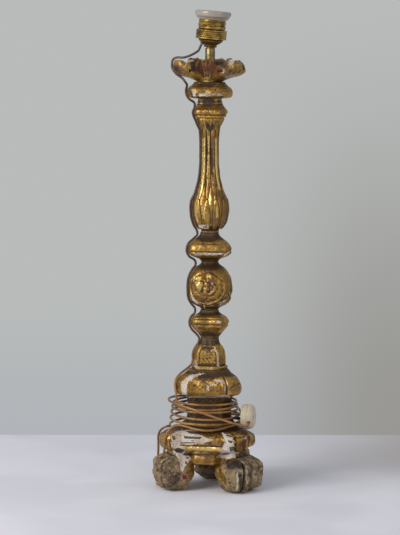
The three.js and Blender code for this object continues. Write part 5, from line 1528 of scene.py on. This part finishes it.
@dataclass
class DripPan:
    """The pan: three broad petals over the corners and an upright leaf between each two."""

    height: float = 32.0
    reach: float = 51.0
    leaf: float = 30.0
    neck: float = 17.5
    wall: float = 4.0
    notch: float = 3.0
    notch_at: float = 34.0  # degrees from a corner
    fall: float = 9.0  # how far the rim drops before the notch
    columns: int = 540

    def spline(self, pairs: Sequence[Point], t: Array) -> Array:
        """Points of a uniform spline through (radius, share of the height) pairs."""
        knots, last = np.array(pairs) * (1, self.height), len(pairs) - 1
        i = np.minimum((t * last).astype(int), last - 1)
        w = (t * last - i)[:, None]
        a, b, c, d = (knots[np.clip(i + k, 0, last)] for k in (-1, 0, 1, 2))
        m0, m1 = (c - a) / 2, (d - b) / 2
        return (2 * b - 2 * c + m0 + m1) * w**3 + (-3 * b + 3 * c - 2 * m0 - m1) * w**2 + m0 * w + b

    def side(self, petal: Sequence[Point], leaf: Sequence[Point], share: Array, way: float) -> Array:
        """The rings of one side of the pan.

        Args:
            petal: The line down the middle of a petal.
            leaf: The line down the middle of a leaf.
            share: How near each ring is to the rim.
            way: How strongly the veins stand out, below 0 on the inside.

        Returns:
            Its points.
        """
        run = share if way > 0 else 1 - share
        lines = [self.spline(line, run).T[..., None] for line in (leaf, petal)]
        angle, share, cut = around(self.columns), share[:, None], share[:, None] ** 2
        off = off_face(angle)
        lean, from_corner = smooth(0.12, 0.62, towards_corner(angle)), 60 - off
        radius, height = (low + (high - low) * lean for low, high in zip(*lines))
        notch = self.notch * bump(from_corner - self.notch_at, 4) * cut
        fall = self.fall * smooth(8, 31, from_corner) * smooth(41, 34, from_corner)
        ragged = 0.6 * np.sin(angle * 13 + 2) + 0.3 * np.sin(angle * 31 + 1) - 0.5
        veins = rolls(from_corner, (1.0, 0, 2.0), (0.7, 11, 2.2), (0.6, 20, 2.2))
        folds = rolls(off, (0.8, 0, 3.0), (0.6, 11, 2.6))
        carved = (veins * lean + folds * (1 - lean)) * smooth(0.05, 0.4, share)
        radius = radius - notch + way * (carved * 0.9 - 0.5)
        return wrapped(radius, angle, height - notch * 0.9 + (ragged - fall) * cut)

    def build(self, shop: Workshop) -> None:
        """Makes the pan, with its bore for the tube."""
        r, leaf, neck = self.reach, self.leaf, self.neck
        under = [(neck, 0), (r * 0.58, 0.17), (r * 0.82, 0.31), (r * 0.97, 0.53), (r, 0.72)]
        upright = [(neck, 0), (neck * 1.12, 0.24), (leaf * 0.78, 0.5), (leaf * 0.94, 0.76), (leaf, 0.97)]
        over = [(r * 0.95, 0.94), (r * 0.82, 0.9), (r * 0.6, 0.66), (neck, 0.5)]
        within = [(leaf * 0.96, 1), (leaf - self.wall, 0.9), (leaf * 0.66, 0.62), (neck * 0.8, 0.5)]
        bottom = foot("drip_pan")
        bore = (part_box("brass_tube")[1].x - shop.axis.x) / MM + 0.35
        points = np.concatenate([
            self.side(under, upright, np.linspace(0, 1, 60), 1.0),
            self.side(over, within, 1 - np.linspace(0, 1, 44), -0.4),
            wrapped(bore, around(self.columns), np.array([[14.5], [0.2]]))]) + (0, 0, bottom)
        lumps = 0.3 * Grain(11, 12).at(points) + 0.12 * Grain(4, 13).at(points)
        points[:-2, :, :2] *= (1 + lumps / np.linalg.norm(points[..., :2], axis=-1))[:-2, :, None]
        points[..., 2] = np.minimum(points[..., 2], bottom + self.height)
        made = skin("drip_pan_carving", [np.concatenate([points, points[:1]])], shop.axis)
        shop.dress(made, ["drip_pan"], Finish.GILDING, 14, 0.2)


# ---- The lamp holder ----


@dataclass
class Holder:
    """The tube, the cap, the brass shell and the porcelain ring. Profiles are (radius, height) in mm."""

    tube: tuple[float, float] = (6.7, 5.7)
    skirt: float = 21.0
    skirt_foot: float = 11.8
    groove_pitch: float = 2.48
    wall: float = 18.0
    wall_foot: float = 24.4
    wall_height: float = 21.8
    cap: tuple[Point, ...] = (
        (8.7, 0.9), (8.7, 4.0), (9.2, 4.5), (11.8, 5.6), (14.6, 7.6), (16.3, 9.6), (17, 11.5),
        (19.4, 12.1), (19.4, 19.5), (18.2, 19.5), (18.2, 13.4), (15.8, 12.4), (15.0, 10.2),
        (13.2, 8.2), (10.6, 6.4), (7.5, 5.2), (5.4, 5.0), (5.4, 0.9), (8.7, 0.9))
    ring: tuple[Point, ...] = (
        (19.2, 38.4), (20.1, 38.4), (20.6, 38.8), (22.9, 42.2), (23.8, 43.2), (24.2, 44.2), (24.2, 48.6),
        (24.0, 49.5), (23.3, 50.1), (22.6, 50.2), (16.2, 50.2), (15.6, 49.8), (15.5, 49.2), (15.5, 47.1),
        (19.2, 47.1), (19.2, 38.4))
    insert: tuple[Point, ...] = (
        (3.2, 20.1), (3.2, 13.8), (16.4, 13.8), (16.7, 14.1), (16.7, 22.4), (16.4, 22.7), (3.2, 22.7),
        (3.2, 20.1))
    contact: tuple[Point, ...] = (
        (0.01, 21.95), (2.45, 21.95), (2.5, 22.7), (2.2, 22.75), (2.0, 23.4), (1.95, 25.2), (1.5, 25.6),
        (0.01, 25.7))

    def build(self, shop: Workshop) -> None:
        """Makes every piece of the holder."""
        low, high = (corner.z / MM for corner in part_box("brass_tube"))
        outer, inner = self.tube
        profile = [(inner, low), (outer, low), (outer, high - 0.5), (outer - 0.3, high), (inner, high),
                   (inner, low)]
        shop.dress(skin("tube_turned", [lathe(profile, 96)], shop.axis), ["brass_tube"], Finish.TUBE_BRASS, 0)
        for node, finish, columns, line in (
            ("holder_cap", Finish.CAP_BRASS, 128, self.cap),
            ("holder_shell", Finish.BRASS, 128, self.shell()),
            ("shade_ring", Finish.PORCELAIN, 160, self.ring),
            ("porcelain_insert", Finish.PORCELAIN, 96, self.insert),
            ("screw_shell", Finish.BRASS, 96, self.screw_shell()),
            ("centre_contact", Finish.BRASS, 48, self.contact),
        ):
            made = skin(f"{node}_turned", [lathe(line, columns)], Vector())
            if node == "holder_shell":
                self.roll(made, shop.finishes[finish])
            self.seat(made, shop)
            shop.dress(made, [node], finish, 10, 0.12)
        ribs = self.ribs(shop.finishes[Finish.PORCELAIN])
        self.seat(ribs, shop)
        shop.dress(ribs, ["shade_ring"], Finish.PORCELAIN, 2, 0.12)
        shop.keep(Finish.BRASS, "threaded_nipple", "lock_nut", "side_contact")
        shop.keep(Finish.STEEL, "grub_screw", "terminal_screw_left", "terminal_screw_right")
        shop.keep(Finish.BAKELITE, "cord_bush")

    def seat(self, made: bpy.types.Object, shop: Workshop) -> None:
        """Moves a piece's mesh from the holder's own frame to its place."""
        made.data.transform(Matrix.Translation(shop.holder_place) @ shop.holder_turn.to_matrix().to_4x4())

    def roll(self, made: bpy.types.Object, finish: bpy.types.Material) -> None:
        """Rolls the shell's thread: the outside swells along a helix between two heights."""
        g = Growth("rolled_thread", Pitch=6.2 * MM, Depth=0.95 * MM, Start=24.6 * MM, End=38.6 * MM,
                   Wall=17.6 * MM)
        x, y, z = g.node("GeometryNodeInputPosition").parts()
        along, left = ((z - g.given("Start")) / g.given("Pitch"), (g.given("End") - z) / g.given("Pitch"))
        wave = 0.5 - (along * (2 * math.pi) - y.math("ARCTAN2", x)).math("COSINE") * 0.5
        outside = ((x * x + y * y) ** 0.5).math("GREATER_THAN", g.given("Wall"))
        swell = wave ** 0.7 * g.given("Depth") * outside * (along * 2).clamped() * (left * 2).clamped()
        level = g.node("ShaderNodeCombineXYZ", {}, {0: x, 1: y, 2: 0.0})
        way = g.node("ShaderNodeVectorMath", {"operation": "NORMALIZE"}, {0: level})
        offset = g.node("ShaderNodeVectorMath", {"operation": "SCALE"}, {0: way, "Scale": swell})
        moved = g.node("GeometryNodeSetPosition", {}, {"Geometry": g.given("Geometry"), "Offset": offset})
        g.run(made, moved, finish)

    def ribs(self, finish: bpy.types.Material) -> bpy.types.Object:
        """Groups of upright ribs round the rim of the porcelain ring, for the fingers."""
        g = Growth("grip_ribs", Count=60, Group=15, Ribs=5, Radius=24.25 * MM, Height=46.4 * MM,
                   Length=4.2 * MM, Width=0.8 * MM)
        ring = g.node("GeometryNodeMeshCircle", {}, {"Vertices": g.given("Count"),
                                                     "Radius": g.given("Radius")})
        up = g.node("ShaderNodeCombineXYZ", {}, {2: g.given("Height")})
        ring = g.node("GeometryNodeTransform", {}, {"Geometry": ring, "Translation": up})
        step = g.node("GeometryNodeInputIndex").math("MODULO", g.given("Group"))
        chosen = step.math("LESS_THAN", g.given("Ribs"))
        bead = g.node("GeometryNodeMeshUVSphere", {}, {"Segments": 8, "Rings": 6, "Radius": 0.5})
        size = g.node("ShaderNodeCombineXYZ", {}, {0: g.given("Width"), 1: g.given("Width"),
                                                   2: g.given("Length")})
        placed = g.node("GeometryNodeInstanceOnPoints", {}, {"Points": ring, "Selection": chosen,
                                                             "Instance": bead, "Scale": size})
        made = add("shade_ring_ribs", bpy.data.meshes.new("shade_ring_ribs"))
        g.run(made, placed, finish)
        return made

    def shell(self) -> list[Point]:
        """The skirt with its grooves, and the shell with rows of points for the rolled thread."""
        r, z = self.skirt, self.skirt_foot
        line = [(r - 1.3, z), (r - 0.2, z), (r, z + 0.3)]
        for groove in range(1, 5):
            line += [(r - deep, z + groove * self.groove_pitch + rise) for deep, rise in (
                (0, -0.75), (0.4, -0.35), (0.6, 0), (0.4, 0.35), (0, 0.75))]
        line += [(r, 23.9), (r - 0.3, 24.25), (18.1, self.wall_foot)]
        line += [(self.wall, self.wall_foot + self.wall_height * step / 60) for step in range(1, 60)]
        return line + [(self.wall, 46.8), (14.9, 46.8), (14.9, 45.9), (17.1, 45.9), (17.1, 20.7),
                       (r - 1.3, 19.8), (r - 1.3, z)]

    def screw_shell(self) -> list[Point]:
        """The inner shell with its rounded thread."""
        outer = [(13.5 + 0.5 * math.cos(2 * math.pi * (z - 24) / 3.6), z) for z in np.linspace(24, 44.4, 70)]
        inner = [(x - 0.65, z) for x, z in reversed(outer)]
        return [(13.3, 23.0), (14, 23.0), *outer, (14.55, 45.3), (13.95, 45.4), *inner, (13.3, 23.0)]


# ---- The plug and the flex ----


@dataclass
class Plug:
    """The round ivory plug, its pins and its screws, and where the flex goes in."""

    radius: float = 17.2
    middle: Place = (56.6, -13.4, 101.7)
    heading: float = 181.0  # degrees, the way that the pins look
    entry_turn: float = 70.0  # degrees from straight down, round the plug's side
    entry_depth: float = -2.56  # along the pins, from the middle
    pieces: dict[Finish, tuple[str, ...]] = field(default_factory=lambda: {
        Finish.IVORY: ("plug_cover", "plug_base"),
        Finish.PIN_BRASS: ("plug_pin_lower", "plug_pin_upper"),
        Finish.STEEL: ("plug_screw_front", "plug_screw_rear")})

    def build(self, shop: Workshop) -> list[bpy.types.Object]:
        """Dresses the plug's pieces and returns their nodes."""
        for finish, nodes in self.pieces.items():
            shop.keep(finish, *nodes)
        return [shop.frame["nodes"][node] for nodes in self.pieces.values() for node in nodes]

    def entry(self) -> tuple[Array, Array]:
        """Where the flex goes into the plug, and the way out of it."""
        turn, angle = math.radians(self.heading), math.radians(self.entry_turn)
        along = np.array((math.cos(turn), math.sin(turn), 0))
        side = np.array((-math.sin(turn), math.cos(turn), 0))
        out = side * math.sin(angle) - np.array((0, 0, math.cos(angle)))
        return np.array(self.middle) + along * self.entry_depth + out * (self.radius * 0.72 + 0.3), out


@dataclass
class Flex:
    """The lamp's flex: down from the cap, wound round the waist, and across to the plug.

    Places are (degrees, radius, height) about the stem's axis, in mm.
    """

    radius: float = 1.6
    length: float = 2.58
    start_angle: float = 228.0
    turns: float = 4.9
    steps: int = 24  # points in a turn
    top: float = 121.4
    winding_radius: float = 43.0
    spread: float = 1.2
    fall: float = 3.2
    sag: float = 0.8
    shift: Place = (191, 7.0, 0)  # where the middle of the coil lies
    droop: float = 3.6  # how far the middle turns hang down in front
    drop: tuple[Place, ...] = (
        (190, 16, 603), (189, 21, 599.5), (187, 28, 596), (184, 37.5, 593.3), (181, 46, 593.3),
        (180, 51.3, 591.2), (181, 53, 585.5), (182, 52.3, 578.5), (184, 46.5, 571), (187, 38.5, 565.5),
        (192, 33.8, 560))
    down_turns: tuple[Point, ...] = (
        (556, 204), (545, 214), (536, 219), (520, 216), (500, 212), (420, 211), (250, 212), (215, 208),
        (190, 203), (165, 207), (146, 214), (134, 218))
    ease: float = 7.0  # the tightest hollow that the flex follows
    slimmest: float = 11.5  # the least radius that the flex comes to
    out_of_cap: float = 3.2  # how far it runs straight from the bush
    lead_in: float = 5.12  # how far it runs straight before and after the coil
    lead_out: float = 4.4
    into_plug: tuple[float, ...] = (12.8, 7, 0, -2.5)  # how far from the plug's side
    hang: tuple[Place, ...] = (
        (203, 61, 86), (200, 68.5, 81), (198, 71.8, 73), (197, 71.8, 63), (198, 72, 53),
        (203, 73.2, 47.8), (209.5, 74.2, 46), (216, 74, 47.8), (221, 73, 54), (222.5, 72.8, 64),
        (222.5, 72, 74), (223, 67, 84), (224.5, 61, 89.4), (227, 55, 91.2), (235, 50.4, 90.6))
    tail: tuple[Place, ...] = (
        (249, 49, 88.8), (261, 48.3, 87.2), (276, 48, 86.3), (295, 48, 87.5), (313, 47, 90),
        (330, 46.3, 90.8), (350, 46, 91.9), (372, 44.5, 97.5), (396, 45, 104.5), (420, 46.5, 112),
        (444, 49, 114.5), (468, 51.5, 117), (492, 53.5, 119.5), (516, 55.5, 121), (540, 57, 122),
        (560, 57, 121.5), (576, 55, 120.5), (595, 53, 118.5), (618, 52, 114.5), (635, 52, 109.5),
        (652, 52.5, 104), (666, 56, 99.5), (676, 62, 96))

    def exit(self, shop: Workshop) -> tuple[Array, Array]:
        """The middle of the bush's mouth and the way out of it, in mm about the stem's axis."""
        points = np.array([v.co - shop.axis for v in shop.frame["nodes"]["cord_bush"].data.vertices]) / MM
        ways = np.linalg.svd(points - points.mean(0), full_matrices=False)[2]
        way = max(ways, key=lambda way: abs(way @ np.array((-0.6, -0.1, -0.8))))
        way = way * -np.sign(way[2])
        return points.mean(0) + way * self.radius, way

    def down(self, shop: Workshop) -> list[Place]:
        """The flex's way down the stem, close against the carving."""
        heights = np.arange(556.0, 132.0, -1.0)
        levels, turns = np.array(self.down_turns).T
        headings = np.interp(-heights, -levels, turns)
        line = np.maximum(shop.profile(headings, heights), self.slimmest)
        for ball, way, best in ((self.radius + 0.4 + self.ease, 1, np.max), (self.ease, -1, np.min)):
            steps = np.arange(-int(ball), int(ball) + 1)
            padded = np.pad(line, int(ball), mode="edge")
            line = best([padded[int(ball) + step:][: len(line)] + way * lift
                         for step, lift in zip(steps, np.sqrt(ball**2 - steps**2.0))], 0)
        return [(headings[i], line[i], heights[i]) for i in range(0, len(heights), 6)]

    def winding(self) -> list[Array]:
        """The middle of the flex in its turns round the waist."""
        points = []
        for step in range(round(self.turns * self.steps) + 1):
            t = step / self.steps
            angle = self.start_angle + 360 * t
            front = 0.5 + 0.5 * math.cos(math.radians(angle + 80))
            hang = self.droop * front**2 * min(1, t) * (0.55 + 0.45 * math.sin(t * 2.1)) * smooth(4.3, 3.4, t)
            height = self.top - self.fall * t - self.sag * t * t - hang
            place = polar(angle, self.winding_radius + self.spread * t, height)
            points.append(np.array(place) + polar(*self.shift))
        return points

    def route(self, shop: Workshop, plug: Plug) -> Array:
        """Every point of the flex's middle, in mm."""
        mouth, way = self.exit(shop)
        turns = self.winding()
        first, last = ((b - a) / np.linalg.norm(b - a) for a, b in (turns[:2], turns[-2:]))
        entry, out = plug.entry()
        parts = [mouth, mouth + way * self.out_of_cap, *(polar(*p) for p in (*self.drop, *self.down(shop))),
                 turns[0] - first * self.lead_in, *turns, turns[-1] + last * self.lead_out,
                 *(polar(*p) for p in (*self.hang, *self.tail)),
                 *(entry + out * away for away in self.into_plug)]
        return catmull(np.array(parts), per_span=7)

    def build(self, shop: Workshop, plug: Plug) -> None:
        points = self.route(shop, plug) * MM + np.array(shop.axis)
        data = bpy.data.curves.new("flex", "CURVE")
        data.dimensions, data.bevel_depth, data.bevel_resolution = "3D", self.radius * MM, 4
        data.use_fill_caps = True
        spline = data.splines.new("POLY")
        spline.points.add(len(points) - 1)
        spline.points.foreach_set("co", np.hstack([points, np.ones((len(points), 1))]).ravel())
        spline.use_smooth = True
        made = add("flex", data)
        shop.dress(made, ["cord_drop", "cord_winding", "cord_hanging_loop", "cord_tail"], Finish.FLEX)
        plug.build(shop)


# ---- The table, the wall and the light ----


@dataclass
class Studio:
    """A white table top before a pale wall, in soft light from the left. Sizes are in metres."""

    back_edge: float = 0.392  # behind the stem's axis
    front_edge: float = 1.9
    half_width: float = 1.6
    lamps: tuple[tuple[str, Place, float, float, str], ...] = (  # name, place, size, watts, colour
        ("window", (-1.3, -1.6, 1.3), 1.3, 35.0, "FFFDF8"), ("fill", (-1.6, 1.6, 0.9), 1.0, 5.0, "FFF6EA"))
    aim_height: float = 0.3
    wall: str = "B8BBBA"
    wall_low: str = "B0B3B8"
    wall_shadow: str = "989794"
    room_light: str = "B3B6B8"

    def build(self, shop: Workshop) -> None:
        """Makes the table, the world and the lamps."""
        turn, centre = math.radians(shop.view.heading + 180), shop.axis
        away, side = Vector((math.cos(turn), math.sin(turn), 0)), Vector((math.sin(turn), -math.cos(turn), 0))
        back, front, half = self.back_edge, -self.front_edge, self.half_width
        corners = ((front, half), (back, half), (back, -half), (front, -half))
        mesh = bpy.data.meshes.new("table_top")
        mesh.from_pydata([centre + away * d + side * s for d, s in corners], [], [(0, 1, 2, 3)])
        mesh.materials.append(TableCloth().make())
        add("table_top", mesh)
        for name, (behind, aside, height), size, power, colour in self.lamps:
            light = bpy.data.lights.new(name, "AREA")
            light.size, light.energy, light.color = size, power, rgb(colour)[:3]
            lamp = add(name, light)
            lamp.location = centre + away * behind + side * aside + Vector((0, 0, height))
            aim = centre + Vector((0, 0, self.aim_height)) - lamp.location
            lamp.rotation_mode = "QUATERNION"
            lamp.rotation_quaternion = aim.to_track_quat("-Z", "Y")
        bpy.context.scene.world = self.room(shop.view)
        bpy.context.scene.view_settings.view_transform = "Standard"

    def room(self, view: PhotoView) -> bpy.types.World:
        """A pale wall for the camera, a little darker and bluer low down, with a painted shadow on the right,
        and plain light from everywhere else.
        """
        world = bpy.data.worlds.new("pale_wall")
        world.use_nodes = True
        world.node_tree.nodes.clear()
        t = Tree(world.node_tree)
        way = t.node("ShaderNodeTexCoord", out="Generated")
        aside = t.node("ShaderNodeVectorMath", {"operation": "DOT_PRODUCT"}, {0: way, 1: view.axes()[0]},
                       out="Value")
        fall = way.parts()[2] * -1
        lit = t.mix(self.wall, self.wall_low, fall.over(0.12, 0.19))
        # Painted shadow on the wall's right side.
        dull = t.mix(self.wall, self.wall_shadow, fall.over(0.0, 0.18))
        seen = t.mix(lit, dull, aside.over(0.0, 0.075))
        camera = t.node("ShaderNodeLightPath", out="Is Camera Ray")
        back = t.node("ShaderNodeBackground", {}, {0: t.mix(self.room_light, seen, camera), 1: 1.0})
        t.node("ShaderNodeOutputWorld", {}, {0: back})
        return world


def save_sizes() -> None:
    """Brings the scene's matrices up to date."""
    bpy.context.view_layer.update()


def main() -> None:
    """Builds the object, piece by piece."""
    logging.basicConfig(level=logging.INFO, format="%(message)s")
    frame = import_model()
    shop = Workshop(frame)
    shop.view.add_camera(shop.axis)
    for part in (PawFeet(), Base(), Stem(), Vase(), Collars(), DripPan(), Holder()):
        part.build(shop)
    Flex().build(shop, Plug())
    Studio().build(shop)
    save_sizes()


if __name__ == "__main__":
    main()
